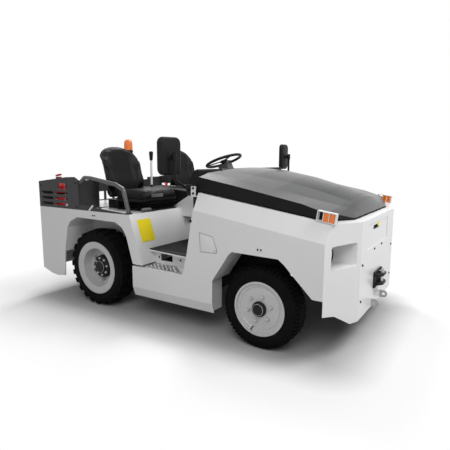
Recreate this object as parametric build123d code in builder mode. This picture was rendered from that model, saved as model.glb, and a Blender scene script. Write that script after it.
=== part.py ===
from build123d import *
from math import cos, radians, sin
import os

os.makedirs("parts", exist_ok=True)

# An airport baggage tug: a two seat towing tractor with a long hood.
# Millimetres, +X forward, +Y to the driver's left, +Z up.
# The origin is on the floor, midway between the tow jaws' tips.

# Sheets
skin = 12
thin_skin = 5
housing_skin = 10
mat_thick = 8

# Clearances
seat_gap = 0.3
pin_gap = 0.4
end_gap = 1.5
move_gap = 8

# Lengths, chained from the nose back to the tail
front_overhang = 603
cab_to_axle = 457
footwell_length = 736
cushion_gap = 4
cushion_length = 400
back_behind = 45
back_room = 178
housing_length = 577
jaw_reach = 60
seat_room = cushion_gap + cushion_length + back_behind + back_room
nose_x = (front_overhang + cab_to_axle + footwell_length + seat_room + housing_length) / 2
tail_x = -nose_x
front_axle_x = nose_x - front_overhang
bulkhead_x = front_axle_x - cab_to_axle
seat_front_x = bulkhead_x - footwell_length
housing_front_x = seat_front_x - seat_room
rear_axle_x = housing_front_x + 139

# Widths, chained from the console out to the side
console_half = 190
seat_side_gap = 18
cushion_width = 470
seat_to_side = 432
seat_y = console_half + seat_side_gap + cushion_width / 2
half_width = seat_y + seat_to_side

# Wheels
front_wall = 106
front_width = 180
front_bead = 190
front_radius = front_bead + front_wall
rear_wall = 120
rear_width = 208
rear_bead = 233
rear_radius = rear_bead + rear_wall
rim_face_y = half_width - 46
tyre_shoulder = 26
flange_height = 7
flange_width = 12
rim_wall = 8

# Steering gear
kingpin_y = rim_face_y - 229
kingpin_r = 16
knuckle_r = 34
fork_ear = 30
knuckle_half = 55
spindle_r = 25
arm_length = 150
arm_thick = 22
arm_bend = 60
arm_inner = 5
arm_outer = 28
arm_tip = 16
arm_eye_r = 22
rod_drop = 20
rod_r = 14
wheel_hub_r = 53

# Chassis
rail_y = 330
rail_w = 70
rail_height = 120
rail_bottom = rear_radius + 97
rail_top = rail_bottom + rail_height
leaf_width = 60
leaf_thick = 12
spring_half = 320
axle_w = 90

# Heights, chained from the rails and the rear wheel arch up
floor_under_z = rail_top + skin
floor_z = floor_under_z + mat_thick
arch_top_z = 2 * rear_radius + 106
deck_z = arch_top_z + 69
shelf_z = floor_z + 472
rim_rear_z = floor_z + 500

# Body panels: the rim plane runs down towards the nose
rim_rear_x = bulkhead_x - 73
rim_slope = 0.145
crease_drop = 125
crease_lean = 0.5
nose_side_x = nose_x - 128
nose_half = half_width - 369
rim_width = 28
sill_rear_x = seat_front_x + 22
sill_front_x = front_axle_x - 364
sill_top_z = floor_z - 135
sill_bottom_z = 200
sill_bend_z = sill_bottom_z + 76
sill_tuck = 25

# Cab
seat_foot_x = seat_front_x + 134
seat_foot_z = sill_top_z + 19
riser_y = half_width - 175

# Rear
tail_bottom_z = 271

# Controls
wheel_centre = (bulkhead_x - 660, seat_y, floor_z + 733)
wheel_tilt = 21
steering_ring_r = 186
steering_tube_r = 14


def rim_z(x):
    """Height of the body's rim, under the hood, at x."""
    return rim_rear_z - rim_slope * (x - rim_rear_x)


def save(builder, name):
    """Label a finished piece and write its file."""
    builder.part.label = name
    export_step(builder.part, "parts/" + name + ".step")


def side_name(side):
    return "left" if side > 0 else "right"


# Wheels: profiles in the plane of the axle, with u outwards from mid width and v up
def axle_plane(side, x, z, width):
    return Plane(
        origin=(x, side * (rim_face_y - width / 2), z),
        x_dir=(0, side, 0),
        z_dir=(side, 0, 0),
    )


def ring_plane(side, x, z, width, u):
    """Plane across the axle at u from mid width, its own X down to the floor."""
    return Plane(
        origin=(x, side * (rim_face_y - width / 2 + u), z),
        x_dir=(0, 0, -1),
        z_dir=(0, side, 0),
    )


def make_tyre(side, x, tread_r, radius, width, bead, facets):
    """A tyre of flat facets with one corner on the floor. Its tread lies at tread_r."""
    half = width / 2
    seat_r = bead + seat_gap
    flange_r = seat_r + flange_height
    lip = flange_width + seat_gap
    stations = (
        (-half, radius - tyre_shoulder),
        (tyre_shoulder - half, tread_r),
        (half - tyre_shoulder, tread_r),
        (half, radius - tyre_shoulder),
    )
    with BuildPart() as tyre:
        for u, r in stations:
            with BuildSketch(ring_plane(side, x, radius, width, u)):
                RegularPolygon(r, facets)
        loft(ruled=True)
        with BuildSketch(ring_plane(side, x, radius, width, -half)):
            RegularPolygon(seat_r, facets, major_radius=False)
        extrude(amount=width, mode=Mode.SUBTRACT)
        for u in (-half, half - lip):
            with BuildSketch(ring_plane(side, x, radius, width, u)):
                RegularPolygon(flange_r, facets, major_radius=False)
            extrude(amount=lip, mode=Mode.SUBTRACT)
    return tyre


def make_lugged_tyre(side):
    """The rear tyre: two rows of lugs, set half a pitch apart."""
    half = rear_width / 2
    tread_r = rear_radius - lug_height
    foot_r = rear_radius - tyre_shoulder
    pitch = 360 / lug_count
    with BuildPart() as tyre:
        add(
            make_tyre(
                side, rear_axle_x, tread_r, rear_radius, rear_width, rear_bead, 2 * lug_count
            ).part
        )
        for u, start in ((lug_middle, 0), (-half, pitch / 2)):
            with BuildSketch(ring_plane(side, rear_axle_x, rear_radius, rear_width, u)):
                with PolarLocations(0, lug_count, start_angle=start):
                    Polygon(
                        (foot_r, -lug_foot / 2),
                        (rear_radius, -lug_top / 2),
                        (rear_radius, lug_top / 2),
                        (foot_r, lug_foot / 2),
                        align=None,
                    )
            extrude(amount=half - lug_middle)
    return tyre


lug_count = 24
lug_height = 14
lug_foot = 50
lug_top = 38
lug_middle = 6
front_facets = 40


def rim_profile(width, bead, inner):
    """Points of the barrel and its two flanges, from the outer lip round to the inner one."""
    half = width / 2
    lip = bead + flange_height
    return [
        (half, lip),
        (half - flange_width, lip),
        (half - flange_width, bead),
        (flange_width - half, bead),
        (flange_width - half, lip),
        (-half, lip),
        (-half, inner),
    ]


def make_front_rim(side):
    half = front_width / 2
    barrel = front_bead - rim_wall
    disc_front = half - 16
    disc_thick = 10
    disc_back = disc_front - disc_thick
    cap_out = 16
    cap_edge = 6
    groove_r = 154
    step = 5
    hub_back = -70
    hub_lip = 8
    bore_r = spindle_r + pin_gap
    with BuildPart() as rim:
        with BuildSketch(axle_plane(side, front_axle_x, front_radius, front_width)):
            with BuildLine():
                Polyline(
                    *rim_profile(front_width, front_bead, barrel),
                    (disc_back, barrel),
                    (disc_back, bore_r),
                    (disc_front, bore_r),
                    (disc_front, groove_r - step),
                    (disc_front - step, groove_r),
                    (disc_front, groove_r + step),
                    (disc_front, barrel),
                    (half, barrel),
                    close=True,
                )
            make_face()
            with BuildLine():
                Polyline(
                    (hub_back, bore_r),
                    (hub_back, wheel_hub_r + hub_lip),
                    (disc_back, wheel_hub_r + hub_lip),
                    (disc_front, wheel_hub_r),
                    (half + cap_out - cap_edge, wheel_hub_r - cap_edge),
                    (half + cap_out, wheel_hub_r - 2 * cap_edge),
                    (half + cap_out, 0),
                    (disc_front, 0),
                    (disc_front, bore_r),
                    close=True,
                )
            make_face()
        revolve(axis=Axis((front_axle_x, 0, front_radius), (0, 1, 0)))
    return rim


rear_stub_r = 45
rear_hub_r = 100
dish_r = rear_bead - 55


def make_rear_rim(side):
    half = rear_width / 2
    barrel = rear_bead - rim_wall
    bore_r = rear_stub_r + pin_gap
    disc_front = -2
    disc_back = disc_front - 12
    dish_wall = 8
    dish_edge = 20
    hub_back = -60
    hub_taper = 20
    hub_front = half - 62
    hub_edge = 6
    cap_out = 20
    cap_r = 54
    cap_deep = 18
    with BuildPart() as rim:
        with BuildSketch(axle_plane(side, rear_axle_x, rear_radius, rear_width)):
            with BuildLine():
                Polyline(
                    *rim_profile(rear_width, rear_bead, barrel),
                    (half - dish_edge, barrel),
                    (half - dish_edge - 2, dish_r + dish_wall),
                    (disc_back, dish_r + dish_wall),
                    (disc_back, bore_r),
                    (disc_front, bore_r),
                    (disc_front, dish_r),
                    (half - dish_edge / 2, dish_r),
                    (half, barrel + rim_wall / 2),
                    close=True,
                )
            make_face()
            with BuildLine():
                Polyline(
                    (hub_back, bore_r),
                    (hub_back, rear_hub_r - hub_taper),
                    (disc_back, rear_hub_r - hub_taper),
                    (disc_front, rear_hub_r),
                    (hub_front - hub_edge, rear_hub_r),
                    (hub_front, rear_hub_r - hub_edge),
                    (hub_front, cap_r + hub_edge),
                    (hub_front + cap_out, cap_r),
                    (hub_front + cap_out, 0),
                    (hub_front - cap_deep, 0),
                    (hub_front - cap_deep, bore_r),
                    close=True,
                )
            make_face()
        revolve(axis=Axis((rear_axle_x, 0, rear_radius), (0, 1, 0)))
    return rim


for side in (-1, 1):
    name = side_name(side)
    front_tyre = make_tyre(
        side, front_axle_x, front_radius, front_radius, front_width, front_bead, front_facets
    )
    save(front_tyre, "tyre_front_" + name)
    save(make_lugged_tyre(side), "tyre_rear_" + name)
    save(make_front_rim(side), "wheel_front_" + name)
    save(make_rear_rim(side), "wheel_rear_" + name)


# Knuckles: a barrel on the kingpin, the spindle outwards and the steering arm rearwards
arm_z = front_radius - knuckle_half + arm_thick / 2
rod_z = arm_z - arm_thick / 2 - rod_drop
ball_r = 11
ball_end = 4
rod_eye_r = 24
rod_back = 20
pin_end = 6
spindle_back = 40


def make_knuckle(side):
    low = front_radius - knuckle_half
    pin_low = low - end_gap - fork_ear - pin_end
    pin_high = front_radius + knuckle_half + end_gap + fork_ear + pin_end
    spindle_end = rim_face_y - spindle_back
    with BuildPart() as knuckle:
        with BuildSketch(Plane.XY.offset(low)):
            with Locations((front_axle_x, side * kingpin_y)):
                Circle(knuckle_r)
        extrude(amount=2 * knuckle_half)
        with BuildSketch(Plane.XY.offset(pin_low)):
            with Locations((front_axle_x, side * kingpin_y)):
                Circle(kingpin_r)
        extrude(amount=pin_high - pin_low)
        with BuildSketch(Plane.XZ.offset(-side * kingpin_y)):
            with Locations((front_axle_x, front_radius)):
                Circle(spindle_r)
        extrude(amount=-side * (spindle_end - kingpin_y))
        with BuildSketch(Plane.XY.offset(low)):
            with BuildLine():
                Polyline(
                    (front_axle_x, side * (kingpin_y + arm_outer)),
                    (front_axle_x - arm_bend, side * (kingpin_y + arm_outer)),
                    (front_axle_x - arm_length, side * (kingpin_y + arm_tip)),
                    (front_axle_x - arm_length, side * (kingpin_y - arm_tip)),
                    (front_axle_x - arm_bend, side * (kingpin_y - arm_inner)),
                    (front_axle_x, side * (kingpin_y - arm_inner)),
                    close=True,
                )
            make_face()
            with Locations((front_axle_x - arm_length, side * kingpin_y)):
                Circle(arm_eye_r)
        extrude(amount=arm_thick)
        with BuildSketch(Plane.XY.offset(rod_z - rod_r - ball_end)):
            with Locations((front_axle_x - arm_length, side * kingpin_y)):
                Circle(ball_r)
        extrude(amount=low - rod_z + rod_r + ball_end)
    return knuckle


for side in (-1, 1):
    save(make_knuckle(side), "knuckle_" + side_name(side))

# Tie rod: a tube between two eyes, one on each steering arm's pin
with BuildPart() as tie_rod:
    with BuildSketch(Plane.XZ.offset(rod_back - kingpin_y)):
        with Locations((front_axle_x - arm_length, rod_z)):
            Circle(rod_r)
    extrude(amount=2 * (kingpin_y - rod_back))
    with BuildSketch(Plane.XY.offset(rod_z - rod_r)):
        with Locations(
            (front_axle_x - arm_length, kingpin_y),
            (front_axle_x - arm_length, -kingpin_y),
        ):
            Circle(rod_eye_r)
    extrude(amount=2 * rod_r)
    with BuildSketch(Plane.XY.offset(rod_z - rod_r)):
        with Locations(
            (front_axle_x - arm_length, kingpin_y),
            (front_axle_x - arm_length, -kingpin_y),
        ):
            Circle(ball_r + pin_gap)
    extrude(amount=2 * rod_r, mode=Mode.SUBTRACT)
save(tie_rod, "tie_rod")

# Front axle beam with a fork at each end
web_in = 60
fork_wall = 24
with BuildPart() as front_axle:
    with BuildSketch(Plane.XY.offset(front_radius - knuckle_half)):
        with Locations((front_axle_x, 0)):
            Rectangle(axle_w, 2 * (kingpin_y - knuckle_r - move_gap))
    extrude(amount=2 * knuckle_half)
    for side in (-1, 1):
        for low in (
            front_radius - knuckle_half - end_gap - fork_ear,
            front_radius + knuckle_half + end_gap,
        ):
            with BuildSketch(Plane.XY.offset(low)):
                with Locations((front_axle_x, side * kingpin_y)):
                    Circle(knuckle_r)
                with Locations((front_axle_x, side * (kingpin_y - web_in / 2))):
                    Rectangle(2 * knuckle_r, web_in)
                with Locations((front_axle_x, side * kingpin_y)):
                    Circle(kingpin_r + pin_gap, mode=Mode.SUBTRACT)
            extrude(amount=fork_ear)
        with BuildSketch(Plane.XY.offset(front_radius - knuckle_half - end_gap - fork_ear)):
            with Locations((front_axle_x, side * (kingpin_y - knuckle_r - move_gap - fork_wall / 2))):
                Rectangle(2 * knuckle_r, fork_wall)
        extrude(amount=2 * (knuckle_half + end_gap + fork_ear))
save(front_axle, "front_axle")

# Front leaf springs: three leaves on the axle, the longest on top
leaf_bottom = front_radius + knuckle_half
leaf_shares = (0.45, 0.72, 1.0)
with BuildPart() as front_springs:
    for level, share in enumerate(leaf_shares):
        with BuildSketch(Plane.XY.offset(leaf_bottom + level * leaf_thick)):
            with Locations((front_axle_x, -rail_y), (front_axle_x, rail_y)):
                Rectangle(2 * spring_half * share, leaf_width)
        extrude(amount=leaf_thick)
save(front_springs, "front_springs")
leaf_top = leaf_bottom + len(leaf_shares) * leaf_thick

# Rear axle: tube, stub shafts, drive housing with its motor, and pads under the rails
axle_tube_r = 62
tube_back = 80
drive_r = 150
drive_width = 240
motor_r = 120
motor_length = 420
spring_pad = 160
with BuildPart() as rear_axle:
    tube_half = rim_face_y - rear_width / 2 - tube_back
    with BuildSketch(Plane.XZ.offset(-tube_half)):
        with Locations((rear_axle_x, rear_radius)):
            Circle(axle_tube_r)
    extrude(amount=2 * tube_half)
    stub_half = rim_face_y - rear_width / 2
    with BuildSketch(Plane.XZ.offset(-stub_half)):
        with Locations((rear_axle_x, rear_radius)):
            Circle(rear_stub_r)
    extrude(amount=2 * stub_half)
    with BuildSketch(Plane.XZ.offset(-drive_width / 2)):
        with Locations((rear_axle_x, rear_radius)):
            Circle(drive_r)
    extrude(amount=drive_width)
    with BuildSketch(Plane.YZ.offset(rear_axle_x)):
        with Locations((0, rear_radius)):
            Circle(motor_r)
    extrude(amount=motor_length)
    for side in (-1, 1):
        with BuildSketch(Plane.XY.offset(rear_radius)):
            with Locations((rear_axle_x, side * rail_y)):
                Rectangle(spring_pad, rail_w)
        extrude(amount=rail_bottom - rear_radius)
save(rear_axle, "rear_axle")

# Chassis frame: rails, cross members, outriggers under the sills and spring hangers
cross_w = 80
cross_stations = (tail_x + cross_w, seat_front_x - 4, bulkhead_x - 190, nose_x - 120)
outrigger_w = 60
outrigger_high = 100
outrigger_z = sill_bottom_z + 120
outrigger_stations = (sill_rear_x + 94, bulkhead_x - 20)
hanger_length = 40
with BuildPart() as chassis_frame:
    with BuildSketch(Plane.XY.offset(rail_bottom)):
        with Locations((0, -rail_y), (0, rail_y)):
            Rectangle(nose_x - tail_x - 2 * skin, rail_w)
        with Locations(*[(x, 0) for x in cross_stations]):
            Rectangle(cross_w, 2 * rail_y)
    extrude(amount=rail_height)
    with BuildSketch(Plane.XY.offset(outrigger_z)):
        with Locations(*[(x, 0) for x in outrigger_stations]):
            Rectangle(outrigger_w, 2 * (riser_y - skin))
    extrude(amount=outrigger_high)
    with BuildSketch(Plane.XY.offset(outrigger_z)):
        with Locations(*[(x, side * rail_y) for x in outrigger_stations for side in (-1, 1)]):
            Rectangle(outrigger_w, rail_w)
    extrude(amount=rail_bottom - outrigger_z)
    hanger_z = leaf_top - 2 * leaf_thick
    hanger_run = spring_half + hanger_length / 2
    with BuildSketch(Plane.XY.offset(hanger_z)):
        with Locations(
            *[
                (front_axle_x + end * hanger_run, side * rail_y)
                for end in (-1, 1)
                for side in (-1, 1)
            ]
        ):
            Rectangle(hanger_length, leaf_width)
    extrude(amount=rail_bottom - hanger_z)
save(chassis_frame, "chassis_frame")

# Battery pack under the hood, on the rails
battery_length = 800
battery_width = 600
battery_height = 370
battery_x = bulkhead_x + 50 + battery_length / 2
with BuildPart() as battery_pack:
    with BuildSketch(Plane.XY.offset(rail_top)):
        with Locations((battery_x, 0)):
            Rectangle(battery_length, battery_width)
    extrude(amount=battery_height)
save(battery_pack, "battery_pack")


# Front body: one outer form, hollowed, then parted into the nose and the side panels
corner_share = 0.7


def front_form(inset):
    """The closed form of the front body, drawn in from its outer faces by inset."""
    width = half_width - inset
    front = nose_x - inset
    slope = (nose_side_x - nose_x) / (half_width - nose_half)
    corner_half = nose_half - corner_share * inset
    side_x = front + slope * (width - corner_half)
    with BuildPart() as form:
        with BuildSketch(Plane.XY.offset(sill_bottom_z)):
            with BuildLine():
                Polyline(
                    (0, -width),
                    (side_x, -width),
                    (front, -corner_half),
                    (front, corner_half),
                    (side_x, width),
                    (0, width),
                    close=True,
                )
            make_face()
        extrude(amount=rim_rear_z)
        with BuildSketch(Plane.XZ.offset(-half_width)):
            with BuildLine():
                Polyline(
                    (0, rim_z(0) - inset),
                    (2 * nose_x, rim_z(2 * nose_x) - inset),
                    (2 * nose_x, 2 * rim_rear_z),
                    (0, 2 * rim_rear_z),
                    close=True,
                )
            make_face()
        extrude(amount=2 * half_width, mode=Mode.SUBTRACT)
        crease = rim_z(0) - crease_drop
        reach = half_width / 2
        for side in (-1, 1):
            with BuildSketch(Plane.YZ):
                with BuildLine():
                    Polyline(
                        (side * width, crease),
                        (side * (width - crease_lean * reach), crease + reach),
                        (side * (width + reach), crease + reach),
                        (side * (width + reach), crease),
                        close=True,
                    )
                make_face()
            extrude(amount=2 * nose_x, dir=(1, 0, -rim_slope), mode=Mode.SUBTRACT)
    return form


front_outer = front_form(0)
front_inner = front_form(skin)

# Wheel arch and cab edge, as seen from the side. The arch is placed from the front axle
arch_high_z = 2 * front_radius + 100
arch_low_z = sill_bottom_z - 50
arch_points = (
    (sill_front_x, sill_top_z),
    (front_axle_x - 228, arch_high_z - 30),
    (front_axle_x - 197, arch_high_z),
    (front_axle_x + 161, arch_high_z - 6),
    (front_axle_x + 203, arch_high_z - 37),
    (front_axle_x + 463, sill_top_z - 58),
    (front_axle_x + 503, sill_top_z - 125),
    (front_axle_x + 503, arch_low_z),
    (sill_front_x, arch_low_z),
)
arch_corner = 34
cab_edge_top_z = rim_rear_z + 60
cab_edge_points = (
    (rim_rear_x, cab_edge_top_z),
    (rim_rear_x, rim_rear_z - 100),
    (rim_rear_x - 26, floor_z + 295),
    (rim_rear_x - 45, floor_z + 160),
    (rim_rear_x - 71, floor_z + 22),
    (rim_rear_x - 114, sill_top_z),
    (rim_rear_x - 114, sill_bottom_z - 100),
    (rim_rear_x - half_width / 2, sill_bottom_z - 100),
    (rim_rear_x - half_width / 2, cab_edge_top_z),
)
liner_inner_y = kingpin_y + 40
with BuildPart() as side_panels:
    add(front_outer.part)
    add(front_inner.part, mode=Mode.SUBTRACT)
    with BuildSketch(Plane.XZ.offset(-2 * half_width)) as arch:
        with BuildLine():
            Polyline(*arch_points, close=True)
        make_face()
        fillet(arch.vertices().filter_by_position(Axis.Z, arch_high_z - 50, arch_high_z), arch_corner)
    extrude(amount=4 * half_width, mode=Mode.SUBTRACT)
    with BuildSketch(Plane.XZ.offset(-2 * half_width)):
        with BuildLine():
            Polyline(*cab_edge_points, close=True)
        make_face()
    extrude(amount=4 * half_width, mode=Mode.SUBTRACT)
    with BuildSketch(Plane.XY):
        Rectangle(4 * nose_x, 2 * (half_width - crease_drop * crease_lean - rim_width))
    extrude(amount=2 * rim_rear_z, mode=Mode.SUBTRACT)
    with BuildSketch(Plane.XY):
        with Locations((nose_side_x + half_width, 0)):
            Rectangle(2 * half_width, 4 * half_width)
    extrude(amount=2 * rim_rear_z, mode=Mode.SUBTRACT)
    with BuildSketch(Plane.XY):
        with Locations((nose_side_x / 2, 0)):
            Rectangle(2 * nose_side_x, 4 * half_width)
    extrude(amount=sill_top_z, mode=Mode.SUBTRACT)
    with BuildSketch(Plane.XZ.offset(liner_inner_y)) as liner:
        with BuildLine():
            Polyline(*arch_points, close=True)
        make_face()
        fillet(liner.vertices().filter_by_position(Axis.Z, arch_high_z - 50, arch_high_z), arch_corner)
        offset(amount=thin_skin, kind=Kind.INTERSECTION)
        with BuildLine():
            Polyline(*arch_points, close=True)
        make_face(mode=Mode.SUBTRACT)
        with Locations((front_axle_x, sill_top_z + end_gap - half_width)):
            Rectangle(2 * nose_x, 2 * half_width, mode=Mode.SUBTRACT)
        with Locations((nose_side_x - skin + half_width, sill_top_z)):
            Rectangle(2 * half_width, 2 * half_width, mode=Mode.SUBTRACT)
    extrude(amount=half_width - skin - liner_inner_y)
    mirror(about=Plane.XZ)
save(side_panels, "side_panels")

# Nose: front plate, slanted corner plates, their rim and the headlamp pockets
hood_front_x = nose_x - 60
hood_front_half = nose_half - 16
hood_half = half_width - crease_drop * crease_lean - rim_width
hood_side_x = nose_side_x - 34
lamp_height = 170
lamp_bottom_z = floor_z + 40
lamp_top_z = lamp_bottom_z + lamp_height
lamp_in_y = nose_half + 39
lamp_out_y = half_width - 60
lamp_back_x = nose_x - 190
lamp_corner = 18
nose_low_z = sill_bottom_z + 36
nose_side_low_z = nose_low_z + 124
recess_depth = 4
recess_low_z = floor_z + 115
recess_high_z = recess_low_z + 180
recess_right_y = -345
recess_left_y = 280
grip_low_z = recess_high_z - 55
grip_height = 33
grip_right_y = -185
grip_left_y = -4
with BuildPart() as nose:
    add(front_outer.part)
    add(front_inner.part, mode=Mode.SUBTRACT)
    with BuildSketch(Plane.XY):
        with Locations((nose_side_x - half_width, 0)):
            Rectangle(2 * half_width, 4 * half_width)
    extrude(amount=2 * rim_rear_z, mode=Mode.SUBTRACT)
    with BuildSketch(Plane.XY):
        with BuildLine():
            Polyline(
                (0, -hood_half),
                (hood_side_x, -hood_half),
                (hood_front_x, -hood_front_half),
                (hood_front_x, hood_front_half),
                (hood_side_x, hood_half),
                (0, hood_half),
                close=True,
            )
        make_face()
    extrude(amount=2 * rim_rear_z, mode=Mode.SUBTRACT)
    with BuildSketch(Plane.XZ.offset(-2 * half_width)):
        with BuildLine():
            Polyline(
                (nose_side_x - 20, 0),
                (nose_side_x - 20, nose_side_low_z),
                (nose_side_x + 40, nose_side_low_z - 30),
                (nose_x - 30, nose_low_z),
                (nose_x + 100, nose_low_z - 14),
                (nose_x + 100, 0),
                close=True,
            )
        make_face()
    extrude(amount=4 * half_width, mode=Mode.SUBTRACT)
    for side in (-1, 1):
        mid_y = side * (lamp_in_y + lamp_out_y) / 2
        mid_z = (lamp_bottom_z + lamp_top_z) / 2
        with BuildSketch(Plane.YZ.offset(lamp_back_x - thin_skin)):
            with Locations((mid_y, mid_z)):
                Rectangle(lamp_out_y - lamp_in_y, lamp_top_z - lamp_bottom_z)
        extrude(until=Until.NEXT)
        with BuildSketch(Plane.YZ.offset(lamp_back_x)) as pocket:
            with Locations((mid_y, mid_z)):
                Rectangle(
                    lamp_out_y - lamp_in_y - 2 * thin_skin,
                    lamp_top_z - lamp_bottom_z - 2 * thin_skin,
                )
            fillet(pocket.vertices(), lamp_corner)
        extrude(amount=half_width, mode=Mode.SUBTRACT)
    with BuildSketch(Plane.YZ.offset(nose_x - recess_depth)):
        with Locations(((recess_right_y + recess_left_y) / 2, (recess_low_z + recess_high_z) / 2)):
            Rectangle(recess_left_y - recess_right_y, recess_high_z - recess_low_z)
    extrude(amount=half_width, mode=Mode.SUBTRACT)
    with BuildSketch(Plane.YZ.offset(nose_x - 2 * skin)):
        with Locations(((grip_right_y + grip_left_y) / 2, grip_low_z + grip_height / 2)):
            Rectangle(grip_left_y - grip_right_y, grip_height)
    extrude(amount=half_width, mode=Mode.SUBTRACT)
save(nose, "nose")


# Sills: a folded skin along the step, with a flat top and end plates
sill_inner_x = sill_front_x - 28
with BuildPart() as sills:
    with BuildSketch(Plane.YZ.offset(sill_rear_x)):
        with BuildLine():
            Polyline(
                (-half_width, sill_top_z),
                (-half_width, sill_bend_z),
                (-half_width + sill_tuck, sill_bottom_z),
                (-riser_y, sill_bottom_z),
                (-riser_y, sill_top_z),
                close=True,
            )
        make_face()
    extrude(amount=sill_inner_x - sill_rear_x)
    with BuildSketch(Plane.YZ.offset(sill_rear_x + thin_skin)):
        with BuildLine():
            Polyline(
                (-half_width + thin_skin, sill_top_z - thin_skin),
                (-half_width + thin_skin, sill_bend_z),
                (-half_width + sill_tuck + thin_skin, sill_bottom_z + thin_skin),
                (-riser_y - thin_skin, sill_bottom_z + thin_skin),
                (-riser_y - thin_skin, sill_top_z - thin_skin),
                close=True,
            )
        make_face()
    extrude(amount=sill_inner_x - sill_rear_x - 2 * thin_skin, mode=Mode.SUBTRACT)
    with BuildSketch(Plane.YZ.offset(sill_inner_x - thin_skin)):
        with BuildLine():
            Polyline(
                (-half_width, sill_top_z),
                (-half_width, sill_bend_z),
                (-half_width + sill_tuck, sill_bottom_z),
                (-half_width + sill_tuck + thin_skin, sill_bottom_z),
                (-half_width + thin_skin, sill_bend_z),
                (-half_width + thin_skin, sill_top_z),
                close=True,
            )
        make_face()
    extrude(amount=sill_front_x - sill_inner_x + thin_skin)
    mirror(about=Plane.XZ)
save(sills, "sills")

# Step treads: a plate on each sill, narrower at its inner edge
tread_thick = 5
tread_rear_x = sill_rear_x + 124
tread_edge = 20
tread_inner_x = tread_rear_x + 210
tread_outer_x = tread_inner_x + 170
with BuildPart() as step_treads:
    with BuildSketch(Plane.XY.offset(sill_top_z)):
        with BuildLine():
            Polyline(
                (tread_rear_x, tread_edge - half_width),
                (tread_outer_x, tread_edge - half_width),
                (tread_inner_x, -riser_y - seat_gap),
                (tread_rear_x, -riser_y - seat_gap),
                close=True,
            )
        make_face()
    extrude(amount=tread_thick)
    mirror(about=Plane.XZ)
save(step_treads, "step_treads")

# Cab tub: floor, risers, bulkhead with its shelf, seat base and deck
seat_slope = (seat_foot_x - seat_front_x) / (deck_z - seat_foot_z)
floor_rear_x = seat_front_x + seat_slope * (deck_z - floor_z)
floor_corner_x = bulkhead_x - 190
floor_front_y = half_width - 70
floor_rear_y = half_width - 130
tub_crease_z = rim_z(bulkhead_x) - crease_drop
shelf_rear_x = bulkhead_x - 150
tub_half = half_width - skin
shelf_half = tub_half - 60
mirror_tab_front_x = bulkhead_x - 106
mirror_tab_length = 44
mirror_tab_height = 74
mirror_tab_y = shelf_half - thin_skin
mirror_tab_z = shelf_z + seat_gap
inner_wall_y = rim_face_y - rear_width - 55
riser_rear_x = sill_rear_x + 84
console_wall_rear_x = seat_front_x - 104
console_wall_front_x = seat_front_x + 146
console_wall_top_z = deck_z + 149
console_wall_low_z = deck_z - 81
hole_length = 125
hole_height = 65
hole_x = (seat_front_x + bulkhead_x) / 2 - 120
hole_z = rail_bottom + 72
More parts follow.
